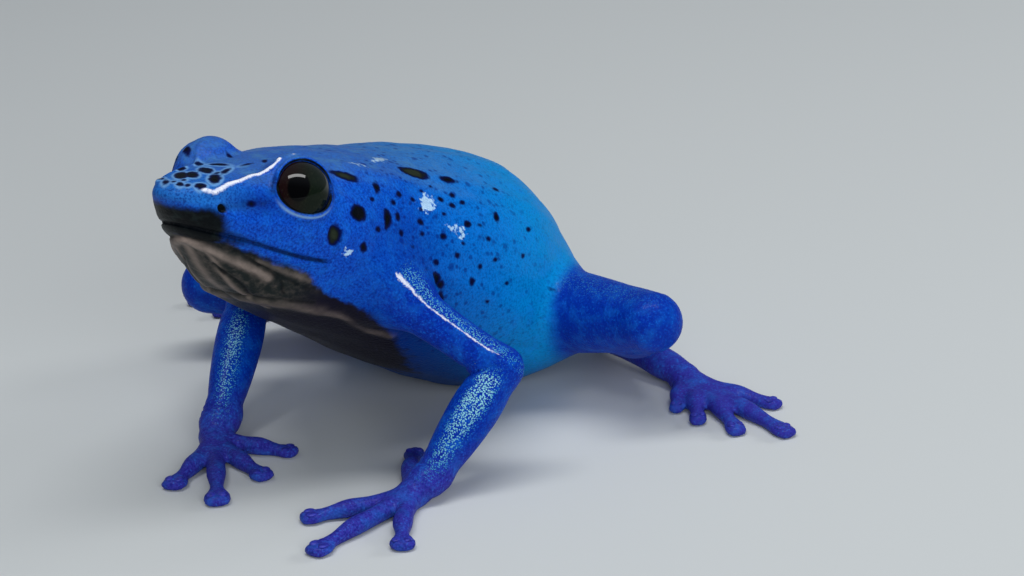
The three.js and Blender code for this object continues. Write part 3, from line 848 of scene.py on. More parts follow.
class FrogForm:
    """The frog's whole outer form, in the floor frame."""

    nostril: tuple[float, float] = (2.55, 1.95)
    nostril_side: Ramp = Ramp(1.2, 1.6)
    nostril_rim: Peak = Peak(0.4, 0.16, 0.1)
    nostril_hole: Peak = Peak(0.0, 0.24, 0.4)
    ear: tuple[float, float] = (10.6, 1.1)
    ear_half: tuple[float, float] = (0.85, 1.15)
    ear_side: Ramp = Ramp(3, 4)
    ear_rim: Peak = Peak(0.82, 0.16, 0.07)
    ear_dip: Ramp = Ramp(0.85, 0.55, 0.12)
    mouth_rear: Ramp = Ramp(11.4, 10.2)
    mouth_front: Ramp = Ramp(0.8, 3.0, 0.65)
    mouth_least: float = 0.35
    upper_lip: Peak = Peak(0.4, 0.3, 0.07)
    lower_lip: Peak = Peak(-0.38, 0.27, 0.11)
    mouth_slit: Peak = Peak(0.0, 0.1, 0.24)
    lip_groove: Peak = Peak(-0.82, 0.13, 0.13)
    lip_groove_rear: Ramp = Ramp(10.5, 8.5)
    head_end_y: float = 20.0
    crease_reach: float = 3.0
    swell_height: float = 0.035
    swell_start: Ramp = Ramp(9, 15)
    lid_blend: float = 0.55
    floor_blend: float = 0.12

    def __init__(self) -> None:
        """Sets up body, limbs and the lines on the body."""
        self.stance = Stance()
        self.body = BodyForm()
        self.limbs = [ARMS[s].limb(self.stance) for s in Side]
        self.limbs += [LEGS[s].limb(self.stance) for s in Side]
        self.lines = [(crease, self._trace(crease)) for crease in CREASES]
        self.spots = SpotGroup(self.body, [*SPOTS, *SpotScatter().spots()])
        self.snout_spots = SpotGroup(self.body, SNOUT_SPOTS)
        self.olive_spots = SpotGroup(self.body, [SPOTS[i] for i in OLIVE_SPOTS])
        self.wet_glint_spots = SpotGroup(self.body, WET_GLINT_SPOTS)

    def _trace(self, crease: Crease) -> Array:
        """The crease's line on the left of the body, as points a short way apart."""
        stops = np.array(crease.stops)
        places = np.linspace(0, len(stops) - 1, 4 * len(stops))
        y = np.interp(places, range(len(stops)), stops[:, 0])
        around = np.interp(places, range(len(stops)), stops[:, 1])
        return self.body.surface(y, around)[0]

    def coarse(self, p: Array) -> Array:
        """Distance-like value of the frog without its fine relief."""
        return self._joined(p, self._plain(self.stance.to_body(p)))

    def _plain(self, b: Array) -> Array:
        """The body's value with its lids, in the body frame."""
        return soft_min(self.body.skull(b), self.body.lids.folded(b), self.lid_blend)

    def _joined(self, p: Array, value: Array) -> Array:
        """The body's value with the limbs and the floor's flats."""
        for limb in self.limbs:
            value = soft_min(value, limb.field(p), limb.blend(p))
        return soft_max(value, -p[:, 2], self.floor_blend)

    def fine(self, p: Array) -> Array:
        """Distance-like value of the frog with lips, nostrils and folds."""
        b = self.stance.to_body(p)
        return self._joined(p, self._plain(b) - self.relief(b))

    def relief(self, b: Array) -> Array:
        """How far the fine forms stand out of the body, in the body frame."""
        head = b[:, 1] < self.head_end_y
        height = np.zeros(len(b))
        height[head] = self._head_relief(b[head])
        mirrored = np.stack([np.abs(b[:, 0]), b[:, 1], b[:, 2]], 1)
        for crease, line in self.lines:
            margin = self.crease_reach * crease.width
            near = np.all((mirrored > line.min(0) - margin) & (mirrored < line.max(0) + margin), axis=1)
            far = line_distance(mirrored[near], line)
            height[near] += crease.height * bell(far, crease.width)
        x, y, z = b[:, 0], b[:, 1], b[:, 2]
        swell = np.sin(1.1 * y + 0.9 * z) * np.sin(1.3 * x + 0.5 * y) + np.sin(2.3 * z - 1.9 * x + y)
        return height + self.swell_height * swell * self.swell_start(y)

    def _head_relief(self, b: Array) -> Array:
        """Lips, nostrils and eardrums."""
        head = self.body.head
        side, y, z = np.abs(b[:, 0]), b[:, 1], b[:, 2]
        under = z - head.mouth_height(y)
        mouth = self.mouth_rear(y) * (self.mouth_least + self.mouth_front(y))
        lips = self.upper_lip(under) + self.lower_lip(under)
        groove = self.lip_groove(under) * self.lip_groove_rear(y)
        nostril = self.from_nostril(y, z)
        nose = self.nostril_rim(nostril) - self.nostril_hole(nostril)
        drum = np.hypot((y - self.ear[0]) / self.ear_half[0], (z - self.ear[1]) / self.ear_half[1])
        ear = self.ear_rim(drum) - self.ear_dip(drum)
        sides = nose * self.nostril_side(side) + ear * self.ear_side(side)
        return mouth * (lips - self.mouth_slit(under) - groove) + sides

    def from_nostril(self, y: Array, z: Array) -> Array:
        """How far points are from the nostril, as seen from the side."""
        return np.hypot(y - self.nostril[0], z - self.nostril[1])


# From a field to a mesh


CORNERS = tuple(product((0, 1), repeat=3))


@dataclass
class SurfaceNet:
    """Turns a field into a closed mesh of quads on a regular grid, in millimetres."""

    spacing: float
    block: int = 4
    reach: float = 1.5
    batch: int = 200000

    def mesh(self, form: Field, low: Array, high: Array) -> tuple[Array, Array]:
        """The mesh of the surface where the field is 0.

        Args:
            form: the field, negative inside.
            low: the lowest corner of the space to search.
            high: its highest corner.

        Returns:
            The vertices, N by 3, and the quads, M by 4, that face outwards.
        """
        values = self._sample(form, low, high)
        inside = values < 0
        size = np.array(inside.shape) - 1
        count = sum(
            inside[i : i + size[0], j : j + size[1], k : k + size[2]].astype(np.int8)
            for i, j, k in CORNERS
        )
        cells = np.argwhere((count > 0) & (count < len(CORNERS)))
        number = np.full(count.shape, -1, np.int64)
        number[tuple(cells.T)] = np.arange(len(cells))
        points = low + (cells + self._crossings(values, cells)) * self.spacing
        return points, np.concatenate([self._quads(inside, number, axis) for axis in range(3)])

    def _sample(self, form: Field, low: Array, high: Array) -> Array:
        """The field on the grid, exact near the surface and rough elsewhere."""
        size = self.spacing * self.block
        blocks = np.ceil((high - low) / size).astype(int)
        grid = np.stack(np.meshgrid(*[np.arange(n) for n in blocks], indexing="ij"), -1)
        centres = low + (grid.reshape(-1, 3) + 0.5) * size
        rough = form(centres).reshape(blocks)
        dense = rough
        for axis in range(3):
            dense = np.repeat(dense, self.block, axis)
        dense = np.pad(dense, ((0, 1),) * 3, mode="edge")
        near = np.abs(dense) < size * self.reach
        for axis in range(3):
            near = near | np.roll(near, 1, axis)
        where = np.argwhere(near)
        for part in np.array_split(where, max(len(where) // self.batch, 1)):
            dense[tuple(part.T)] = form(low + part * self.spacing)
        return dense

    def _crossings(self, values: Array, cells: Array) -> Array:
        """Where the surface passes through each cell, as shares of the cell."""
        corners = np.array(CORNERS)
        at = np.stack([values[tuple((cells + corner).T)] for corner in corners], 1)
        total = np.zeros((len(cells), 3))
        crossed = np.zeros(len(cells))
        for a, b in combinations(range(len(CORNERS)), 2):
            if np.abs(corners[a] - corners[b]).sum() != 1:
                continue
            cut = (at[:, a] < 0) != (at[:, b] < 0)
            share = at[:, a] / np.where(cut, at[:, a] - at[:, b], 1)
            place = corners[a] + share[:, None] * (corners[b] - corners[a])
            total += np.where(cut[:, None], place, 0)
            crossed += cut
        return total / crossed[:, None]

    def _quads(self, inside: Array, number: Array, axis: int) -> Array:
        """The quads that cross the grid's edges along one axis."""
        first = np.take(inside, range(inside.shape[axis] - 1), axis)
        second = np.take(inside, range(1, inside.shape[axis]), axis)
        edges = np.argwhere(first != second)
        b, c = (axis + 1) % 3, (axis + 2) % 3
        quads = []
        for step_b, step_c in ((-1, -1), (0, -1), (0, 0), (-1, 0)):
            cell = edges.copy()
            cell[:, b] += step_b
            cell[:, c] += step_c
            quads.append(number[tuple(cell.T)])
        faces = np.stack(quads, 1)
        turned = second[tuple(edges.T)]
        faces[turned] = faces[turned][:, ::-1]
        return faces


SLOPE_REACH = 0.02
LEAST_SLOPE = 0.15


def settle(points: Array, form: Field, rounds: int, limit: float) -> Array:
    """Moves points onto the surface where a field is 0.

    Args:
        points: the points, N by 3.
        form: the field.
        rounds: how many moves to make.
        limit: the longest move, in millimetres.

    Returns:
        The moved points.
    """
    for _ in range(rounds):
        slope = np.zeros_like(points)
        for axis in range(3):
            step = np.zeros(3)
            step[axis] = SLOPE_REACH
            slope[:, axis] = (form(points + step) - form(points - step)) / (2 * SLOPE_REACH)
        steep = np.maximum(np.sum(slope * slope, 1), LEAST_SLOPE)
        move = slope * (form(points) / steep)[:, None]
        far = np.linalg.norm(move, axis=1)
        points = points - move * np.minimum(1, limit / np.maximum(far, 1e-9))[:, None]
    return points


def relax(points: Array, edges: Array, rounds: int, moving: Array | None = None) -> Array:
    """Evens out a mesh by moving each point towards the middle of its neighbours.

    Args:
        points: the mesh's points, N by 3.
        edges: its edges, M by 2.
        rounds: how many moves to make.
        moving: which of the points move, or all of them.

    Returns:
        The moved points.
    """
    share = 0.5 if moving is None else 0.5 * moving[:, None]
    counts = np.maximum(np.bincount(edges.ravel(), minlength=len(points)), 1)
    for _ in range(rounds):
        total = np.zeros_like(points)
        for axis in range(3):
            total[:, axis] = np.bincount(
                edges.ravel(), points[edges[:, ::-1].ravel(), axis], minlength=len(points)
            )
        points = points + share * (total / counts[:, None] - points)
    return points


# Shader maths


Number = "float | Term"


class Term:
    """A number in a shader, which takes part in sums and products."""

    def __init__(self, board: "Board", socket: bpy.types.NodeSocket) -> None:
        """Wraps a node's output."""
        self.board = board
        self.socket = socket

    def _math(self, operation: str, *values: Number) -> "Term":
        """A Math node on these values."""
        inputs = {i: value for i, value in enumerate(values)}
        return self.board.add("ShaderNodeMath", {"operation": operation}, inputs)

    def __add__(self, other: Number) -> "Term":
        """Sum."""
        return self._math("ADD", self, other)

    def __sub__(self, other: Number) -> "Term":
        """Difference."""
        return self._math("SUBTRACT", self, other)

    def __rsub__(self, other: Number) -> "Term":
        """Difference from a number."""
        return self._math("SUBTRACT", other, self)

    def __mul__(self, other: Number) -> "Term":
        """Product."""
        return self._math("MULTIPLY", self, other)

    __radd__ = __add__
    __rmul__ = __mul__

    def __pow__(self, other: Number) -> "Term":
        """Power."""
        return self._math("POWER", self, other)

    def most(self, other: Number) -> "Term":
        """The higher of two."""
        return self._math("MAXIMUM", self, other)

    def step(self, low: float, high: float) -> "Term":
        """Rises from 0 to 1 as the value goes from low to high, or falls if low is higher."""
        settings = {"interpolation_type": "SMOOTHSTEP"}
        if low < high:
            inputs = {"Value": self, "From Min": low, "From Max": high}
            return self.board.add("ShaderNodeMapRange", settings, inputs)
        inputs = {"Value": self, "From Min": high, "From Max": low, "To Min": 1.0, "To Max": 0.0}
        return self.board.add("ShaderNodeMapRange", settings, inputs)


def add_node(tree: bpy.types.NodeTree, kind: str, settings: dict | None = None,
             inputs: dict | None = None) -> bpy.types.Node:
    """Adds a node to a tree.

    Args:
        tree: the tree.
        kind: the node's type.
        settings: its own settings, set first.
        inputs: values or links by the socket's name, identifier or number.

    Returns:
        The node.
    """
    made = tree.nodes.new(kind)
    for key, value in (settings or {}).items():
        setattr(made, key, value)
    for key, value in (inputs or {}).items():
        by_identifier = (socket for socket in made.inputs if socket.identifier == key)
        socket = next(by_identifier, None) or made.inputs[key]
        value = value.socket if isinstance(value, Term) else value
        if isinstance(value, bpy.types.NodeSocket):
            tree.links.new(value, socket)
        else:
            socket.default_value = value
    return made


class Board:
    """The node tree of one material."""

    def __init__(self, name: str) -> None:
        """Makes an empty material."""
        self.material = bpy.data.materials.new(name)
        self.material.use_nodes = True
        self.tree = self.material.node_tree
        self.tree.nodes.clear()
        coordinates = self.node("ShaderNodeTexCoord")
        scaled = self.node(
            "ShaderNodeVectorMath", {"operation": "SCALE"},
            {0: coordinates.outputs["Object"], "Scale": 1 / MM},
        )
        self.place = scaled.outputs[0]

    def node(self, kind: str, settings: dict | None = None, inputs: dict | None = None):
        """Adds a node to the material's tree."""
        return add_node(self.tree, kind, settings, inputs)

    def add(self, kind: str, settings: dict | None = None, inputs: dict | None = None) -> Term:
        """Adds a node and gives its first output."""
        made = self.node(kind, settings, inputs)
        return Term(self, next(s for s in made.outputs if s.enabled))

    def attribute(self, name: str) -> Term:
        """A number kept on the mesh."""
        made = self.node("ShaderNodeAttribute", {"attribute_name": name})
        return Term(self, made.outputs["Fac"])

    def noise(self, size: float, detail: float = 2.0, roughness: float = 0.5) -> Term:
        """Soft noise from 0 to 1 with features of this size in millimetres."""
        inputs = {"Vector": self.place, "Scale": 1 / size, "Detail": detail, "Roughness": roughness}
        return self.add("ShaderNodeTexNoise", {"normalize": True}, inputs)

    def cells(self, size: float, feature: str = "F1") -> Term:
        """The distance to the nearest of many scattered points this far apart."""
        made = self.node(
            "ShaderNodeTexVoronoi", {"feature": feature}, {"Vector": self.place, "Scale": 1 / size}
        )
        return Term(self, made.outputs["Distance"])

    def mix(self, share: Number, first: "Term | Triple", second: "Term | Triple") -> Term:
        """A colour between two, the second where the share is 1."""
        inputs = {"Factor_Float": share, "A_Color": self._colour(first), "B_Color": self._colour(second)}
        made = self.node("ShaderNodeMix", {"data_type": "RGBA", "clamp_factor": True}, inputs)
        return Term(self, next(s for s in made.outputs if s.identifier == "Result_Color"))

    def layered(self, colour: "Term | Triple", *layers: tuple) -> Term:
        """A colour with others laid over it in turn, each given as (share, colour)."""
        for share, tone in layers:
            colour = self.mix(share, colour, tone)
        return colour

    @staticmethod
    def _colour(value: "Term | Triple") -> "Term | tuple":
        """A colour as a socket takes it."""
        return value if isinstance(value, Term) else (*value, 1.0)

    def bump(self, height: Term, depth: float, below: bpy.types.NodeSocket | None = None):
        """A bump of this depth in millimetres, over an earlier one."""
        inputs = {"Height": height, "Distance": depth * MM, "Strength": 1.0}
        if below is not None:
            inputs["Normal"] = below
        return self.node("ShaderNodeBump", None, inputs).outputs["Normal"]

    def finish(self, inputs: dict) -> bpy.types.Material:
        """Closes the tree with a Principled shader that takes these inputs."""
        shader = self.node("ShaderNodeBsdfPrincipled", None, inputs)
        self.node("ShaderNodeOutputMaterial", None, {"Surface": shader.outputs["BSDF"]})
        return self.material


def srgb(red: int, green: int, blue: int) -> Triple:
    """A colour given as it looks on a screen, from 0 to 255, as light."""
    parts = (value / 255 for value in (red, green, blue))
    return tuple(v / 12.92 if v <= 0.04045 else ((v + 0.055) / 1.055) ** 2.4 for v in parts)


@dataclass(frozen=True)
class SkinFinish:
    """Moist, finely granular frog skin, azure to violet-blue with black spots, with painted highlights,
    glints, sky reflection and shade.
    """

    head_blue: Triple = srgb(12, 77, 192)
    front_blue: Triple = srgb(2, 78, 188)
    back_azure: Triple = srgb(0, 108, 200)
    rump_azure: Triple = srgb(0, 136, 204)
    deep_blue: Triple = srgb(0, 26, 112)
    light_blue: Triple = srgb(24, 124, 222)
    sky_reflection_blue: Triple = srgb(76, 124, 160)
    limb_blue: Triple = srgb(4, 50, 164)
    violet: Triple = srgb(58, 50, 150)
    limb_highlight: Triple = srgb(140, 204, 214)
    limb_highlight_deep: Triple = srgb(64, 148, 182)
    snout_blue: Triple = srgb(34, 104, 188)
    net_blue: Triple = srgb(118, 172, 224)
    lid_grey: Triple = srgb(120, 160, 200)
    gleam: Triple = srgb(236, 238, 250)
    wet: Triple = srgb(176, 212, 242)
    spot_and_shade_black: Triple = srgb(4, 7, 14)
    spot_navy: Triple = srgb(2, 14, 74)
    olive: Triple = srgb(38, 46, 34)
    mask_and_shade_black: Triple = srgb(6, 10, 13)
    mask_and_shade_grey: Triple = srgb(26, 36, 36)
    belly_dark_and_shadow: Triple = srgb(20, 18, 32)
    throat_dark: Triple = srgb(26, 32, 32)
    throat_pale: Triple = srgb(166, 148, 138)
    fine_size: float = 0.17
    ragged_size: float = 0.5
    ragged_amount: float = 0.32
    torn_size: float = 0.32
    torn_amount: float = 1.1
    granule_size: float = 0.23
    grain_size: float = 0.12
    grain_amount: float = 0.4
    grain_depth: float = 0.04
    swell_size: float = 0.9
    swell_depth: float = 0.05
    roughness: tuple[float, float] = (0.4, 0.2)
    specular: float = 0.06
    coat: tuple[float, float] = (0.05, 0.95)
    coat_roughness: float = 0.11

    def make(self) -> bpy.types.Material:
        """Builds the material."""
        board = Board("frog_skin")
        fine = board.noise(self.fine_size, 2.0, 0.6)
        ragged = (board.noise(self.ragged_size, 2.0) - 0.5) * self.ragged_amount
        torn = (board.noise(self.torn_size, 2.0) - 0.5) * self.torn_amount
        # The wet patches: a glossier coat, and a painted glint of pale colour.
        wet = (board.attribute("wet") + ragged + torn).step(0.02, -0.16)
        colour = self._blues(board, fine)
        colour = self._darks(board, colour, ragged)
        colour = self._lights(board, colour, fine)
        edge = board.attribute("spot") + ragged
        colour = board.layered(
            colour,
            (edge.step(0.09, -0.1), board.mix(edge.step(-0.02, -0.26), self.spot_navy, self.spot_and_shade_black)),
            ((board.attribute("olive") + ragged).step(0.02, -0.3) * 0.9, self.olive),
            # painted glints on the wet patches
            (wet * (0.4 + fine), self.wet),
        )
        granules = board.cells(self.granule_size) * -1.0 + 1.0
        grain = board.noise(self.grain_size, 3.0, 0.7) * self.grain_amount
        normal = board.bump(board.noise(self.swell_size, 2.0), self.swell_depth)
        normal = board.bump(granules * board.attribute("grain") + grain, self.grain_depth, normal)
        return board.finish({
            "Base Color": colour,
            "Roughness": self.roughness[0] + self.roughness[1] * fine,
            "Normal": normal,
            "Specular IOR Level": self.specular,
            "Coat Weight": self.coat[0] + self.coat[1] * wet,
            "Coat Roughness": self.coat_roughness,
        })

    def _blues(self, board: Board, fine: Term) -> Term:
        """The ground colour from the head's blue to the rump's azure and the violet hands, with a painted
        reflection of the sky.
        """
        rear = board.attribute("rear")
        clouds = board.noise(1.3, 4.0, 0.65).step(0.44, 0.7)
        return board.layered(
            self.head_blue,
            (rear.step(0.0, 0.3), self.front_blue),
            (rear.step(0.25, 0.6), self.back_azure),
            (rear.step(0.55, 1.0), self.rump_azure),
            (board.attribute("snout"), self.snout_blue),
            (board.attribute("limb"), self.limb_blue),
            (board.attribute("violet"), self.violet),
            (fine.step(0.54, 0.36) * (0.62 - 0.34 * rear), self.deep_blue),
            (fine.step(0.56, 0.7) * 0.36, self.light_blue),
            (clouds * 0.26, self.light_blue),
            # painted reflection of the sky on upward-facing skin and the far lid
            (board.attribute("sky_reflection") * (0.6 + 0.5 * clouds), self.sky_reflection_blue),
        )

    def _lights(self, board: Board, colour: Term, fine: Term) -> Term:
        """The pale net of the snout, the painted highlight on the ridge over the cheek, the lids and the
        painted highlights on the limbs.
        """
        limb_highlight, line = board.attribute("limb_highlight"), board.attribute("line")
        stipple = board.cells(0.13).step(0.62, 0.2)
        uneven = board.noise(0.7, 3.0, 0.6) * 0.6 + 0.75
        band = (limb_highlight * uneven + (stipple - 1.0) * 1.02).step(0.02, 0.6)
        line = line.most(line * -1.0) - board.attribute("line_width") + (fine - 0.5) * 0.3
        gleam = (board.attribute("gleam") - (board.noise(0.3, 2.0) - 0.45) * 0.5).step(0.08, 0.55)
        return board.layered(
            colour,
            (board.attribute("net"), self.net_blue),
            # painted stippled highlights on the limbs, and the painted highlight line on each upper arm
            (band, board.mix(limb_highlight.step(0.5, 1.0), self.limb_highlight_deep, self.limb_highlight)),
            (line.step(0.06, -0.07) * 0.85, self.gleam),
            (board.attribute("lid"), self.lid_grey),
            # painted highlight along the ridge over the cheek
            (gleam * fine.step(0.22, 0.44), self.gleam),
        )

    def _darks(self, board: Board, colour: Term, ragged: Term) -> Term:
        """The small pits, painted shade on the flank and loreal, the belly, the throat and the mask."""
        pits = (board.cells(0.8) + ragged * 0.5).step(0.3, 0.12)
        larger = (board.cells(1.75) + ragged * 0.6).step(0.2, 0.08)
        blotchy = board.noise(1.1, 3.0, 0.6) - 0.5
        fold_tone = board.noise(0.7, 3.0, 0.6).step(0.4, 0.75) * 0.14
        throat = board.mix(fold_tone, self.throat_dark, self.throat_pale)
        below = board.mix(board.attribute("throat"), self.belly_dark_and_shadow, throat)
        mottle = board.noise(0.8, 2.0).step(0.45, 0.75) * 0.7
        return board.layered(
            colour,
            (pits.most(larger) * board.attribute("dots") * 0.85, self.deep_blue),
            # painted shade on the lower flank, the front of the flank and in the loreal hollow
            (board.attribute("shade"), self.deep_blue),
            # the dark skin of belly and throat, with painted shadow under the belly
            ((board.attribute("under") + ragged * 0.6 + blotchy * 0.8).step(0.3, 0.7), below),
            # pale folds of throat and chin: the skin's own pale grey, partly painted highlight where the
            # wet folds catch light
            (board.attribute("pale") * (0.1 + 1.4 * board.noise(1.2, 3.0, 0.65)), self.throat_pale),
            # the snout's black mask and dark lips, with painted shade under the snout, in the nostrils,
            # along sunk creases and round the lids
            (
                (board.attribute("mask_and_shade") + ragged * 0.8 + blotchy * 0.5).step(0.12, 0.88),
                board.mix(mottle, self.mask_and_shade_black, self.mask_and_shade_grey),
            ),
            # painted shade in the mouth's slit and in the groove below the lower lip
            (board.attribute("mouth_shade") * 0.92, self.spot_and_shade_black),
        )


@dataclass(frozen=True)
class ScuteFinish:
    """The smooth violet-blue of the pads on the digits."""

    tone: Triple = srgb(50, 56, 168)
    shade: Triple = srgb(30, 34, 128)
    mottle_size: float = 0.3
    roughness: float = 0.42
    specular: float = 0.35

    def make(self) -> bpy.types.Material:
        """Builds the material."""
        board = Board("frog_scute")
        mottle = board.noise(self.mottle_size, 2.0).step(0.4, 0.7)
        return board.finish({
            "Base Color": board.mix(mottle, self.tone, self.shade),
            "Roughness": self.roughness,
            "Specular IOR Level": self.specular,
        })


@dataclass(frozen=True)
class EyeFinish:
    """A wet black eye, its iris reddish brown towards the snout and dark olive behind."""

    pupil: Triple = srgb(1, 1, 2)
    iris_front: Triple = srgb(24, 8, 9)
    iris_rear: Triple = srgb(13, 22, 14)
    fleck: Triple = srgb(44, 48, 34)
    rim: Triple = srgb(5, 6, 8)
    pupil_half: tuple[float, float] = (0.33, 0.43)
    fleck_size: float = 0.14
    roughness: float = 0.3
    coat: tuple[float, float] = (0.24, 0.66)
    coat_roughness: float = 0.02

    def make(self) -> bpy.types.Material:
        """Builds the material."""
        board = Board("frog_eye")
        across, high = board.attribute("across"), board.attribute("high")
        wide, tall = across * (1 / self.pupil_half[0]), high * (1 / self.pupil_half[1])
        from_pupil = (wide * wide + tall * tall) ** 0.5
        colour = board.layered(
            self.iris_front,
            (across.step(-0.5, 0.5), self.iris_rear),
            (board.noise(self.fleck_size, 3.0, 0.65).step(0.5, 0.75) * 0.35, self.fleck),
            (from_pupil.step(1.12, 0.92), self.pupil),
            (board.attribute("ahead").step(0.55, 0.3), self.rim),
        )
        return board.finish({
            "Base Color": colour,
            "Roughness": self.roughness,
            "Specular IOR Level": 0.0,
            "Coat Weight": self.coat[0] + self.coat[1] * high.step(-0.05, 0.3),
            "Coat Roughness": self.coat_roughness,
        })


@dataclass(frozen=True)
class FloorFinish:
    """A plain pale floor."""

    tone: Triple = srgb(206, 210, 210)
    cloud: Triple = srgb(190, 194, 195)
    cloud_size: float = 60.0
    cloud_share: float = 0.06
    roughness: float = 0.62

    def make(self) -> bpy.types.Material:
        """Builds the material."""
        board = Board("floor_pale")
        share = board.noise(self.cloud_size, 2.0) * self.cloud_share
        colour = board.mix(share, self.tone, self.cloud)
        return board.finish({"Base Color": colour, "Roughness": self.roughness})


# Pieces


def make_piece(name: str, points: Array, faces: Sequence, material: bpy.types.Material):
    """A smooth mesh object at the origin.

    Args:
        name: the piece's name.
        points: its vertices, in millimetres.
        faces: its faces, as lists of vertex numbers.
        material: its finish.

    Returns:
        The object.
    """
    mesh = bpy.data.meshes.new(name)
    mesh.from_pydata((points * MM).tolist(), [], faces)
    mesh.materials.append(material)
    mesh.shade_smooth()
    mesh.update()
    piece = bpy.data.objects.new(name, mesh)
    bpy.context.scene.collection.objects.link(piece)
    return piece


def keep_numbers(piece: bpy.types.Object, name: str, values: Array) -> None:
    """Keeps one number for each vertex of a piece, for its material."""
    attribute = piece.data.attributes.new(name, "FLOAT", "POINT")
    attribute.data.foreach_set("value", values.astype(np.float32))


def report(piece: bpy.types.Object) -> None:
    """Logs a piece's size."""
    mesh = piece.data
    mesh.calc_loop_triangles()
    LOG.info("%s: %d vertices, %d triangles", piece.name, len(mesh.vertices), len(mesh.loop_triangles))


@dataclass(frozen=True)
class SkinMap:
    """Where each colour of the skin begins and ends, in the body frame."""

    blue_ends_z: Profile = Profile(
        (
            (1, -0.3), (2.8, -0.3), (5, -0.75), (7.4, -1.35), (9.4, -1.75), (10.9, -2.7),
            (12.3, -3.3), (13.7, -3.6), (15.8, -4.4), (20, -5.8), (26, -8.3), (34, -10.6),
        )
    )
    mask_top_z: Profile = Profile(((0, 1.5), (1.2, 1.62), (2.3, 1.74), (3.2, 1.7)))
    to_rear: Ramp = Ramp(7, 38)
    limb_edge: Ramp = Ramp(-0.5, 1.2)
    trunk_middle: Triple = (0.0, 14.0, -1.0)
    limb_begins: Ramp = Ramp(7.5, 10.5)
    low_violet: Ramp = Ramp(4.6, 0.9, 0.8)
    # The dark underside: its own dark skin, with painted shadow under the belly.
    belly_edge: Ramp = Ramp(0.8, -0.8)
    chin_edge: Ramp = Ramp(-0.6, -0.75)
    chin_ends: Ramp = Ramp(3.4, 2.6)
    # Where painted shade falls: the hollow before the eye, the lower flank and the front of the flank.
    loreal_y: Peak = Peak(5.0, 1.8, 0.62)
    loreal_z: Peak = Peak(2.6, 0.8)
    shade_edge: Ramp = Ramp(3.8, 0.2, 0.76)
    shade_begins: Ramp = Ramp(13, 17)
    flank_y: Peak = Peak(17.5, 4.0, 0.36)
    flank_z: Ramp = Ramp(4.5, 1.0)
    # Where the painted reflection of the sky lies: on upward-facing skin, and on the far lid.
    facing_up: Ramp = Ramp(0.62, 0.97)
    sky_reflection_back: Ramp = Ramp(36, 22)
    sky_reflection_begins: Ramp = Ramp(3.0, 6.0)
    sky_reflection_share: float = 0.6
    far_lid_share: float = 0.5
    far_lid: tuple[Ramp, Ramp, Ramp] = (Ramp(2.2, 3.2), Ramp(3.6, 4.8), Ramp(10.0, 8.5))
    olive_inset: float = 0.12
    dots_begin: Ramp = Ramp(12, 16, 0.75)
    dots_end: Ramp = Ramp(38, 24)
    throat_ends: Ramp = Ramp(12.5, 9)
    snout_ends: Ramp = Ramp(6.0, 2.0)
    snout_top: Ramp = Ramp(1.6, 2.3)
    net_edge: Ramp = Ramp(0.24, 0.06, 0.72)
    net_ends: Ramp = Ramp(7.5, 5.5)
    net_top: Ramp = Ramp(1.9, 2.5)
    near_side: Ramp = Ramp(-0.5, 0.5)
    grain_begins: Ramp = Ramp(10, 20, 0.55)
    least_grain: float = 0.35
    pale_spread: float = 0.95
    dark_spread: float = 1.1
    gleam_spread: float = 0.85


@dataclass(frozen=True)
class LidMap:
    """Where the lids are pale or darkened by painted shade; reaches are over the ball, heights round the
    eye.
    """

    reach: tuple[float, float] = (1.1, 0.7)
    pale_low: Ramp = Ramp(-0.25, -0.85, 0.9)
    pale_line: Peak = Peak(0.05, 0.085)
    inside: Ramp = Ramp(-0.08, -0.15)
    corner_place: float = 0.05
    corner: Ramp = Ramp(0.5, 0.15, 0.6)
    corner_line: Peak = Peak(0.05, 0.28)
    lower: Ramp = Ramp(-0.05, -0.5)
    grooves: tuple[Peak, Peak] = (Peak(0.36, 0.14, 0.28), Peak(0.92, 0.16, 0.2))


@dataclass(frozen=True)
class MouthMap:
    """Where snout, lips and chin are dark or pale, by place and by height over the mouth."""

    mask_edge: Ramp = Ramp(0.8, -0.6)
    mask_rear: Ramp = Ramp(0.9, -0.6)
    mask_rear_y: float = 2.6
    mask_lean: tuple[float, float] = (0.5, 1.5)
    mask_low: Ramp = Ramp(-1.0, -0.5)
    nostril: Ramp = Ramp(0.42, 0.22)
    lower_lip: Peak = Peak(-0.3, 0.35, 0.75)
    lower_lip_rear: Ramp = Ramp(7.5, 3.0)
    upper_lip: Peak = Peak(0.22, 0.28, 0.62)
    upper_lip_rear: Ramp = Ramp(6.5, 2.8)
    mouth_shade: Peak = Peak(0.0, 0.16)
    slit_rear: Ramp = Ramp(11.3, 10.3)
    groove: Peak = Peak(-0.82, 0.12, 0.7)
    groove_rear: Ramp = Ramp(9.5, 7.5)
    groove_front: Ramp = Ramp(2.4, 3.6)
    chin_rim: Peak = Peak(-1.0, 0.26, 0.8)
    chin_rim_rear: Ramp = Ramp(3.6, 2.4)
    throat_line: Peak = Peak(0.0, 0.5, 0.5)
    throat_low: Ramp = Ramp(-0.7, -1.0)
    throat_rear: Ramp = Ramp(9.0, 6.0)


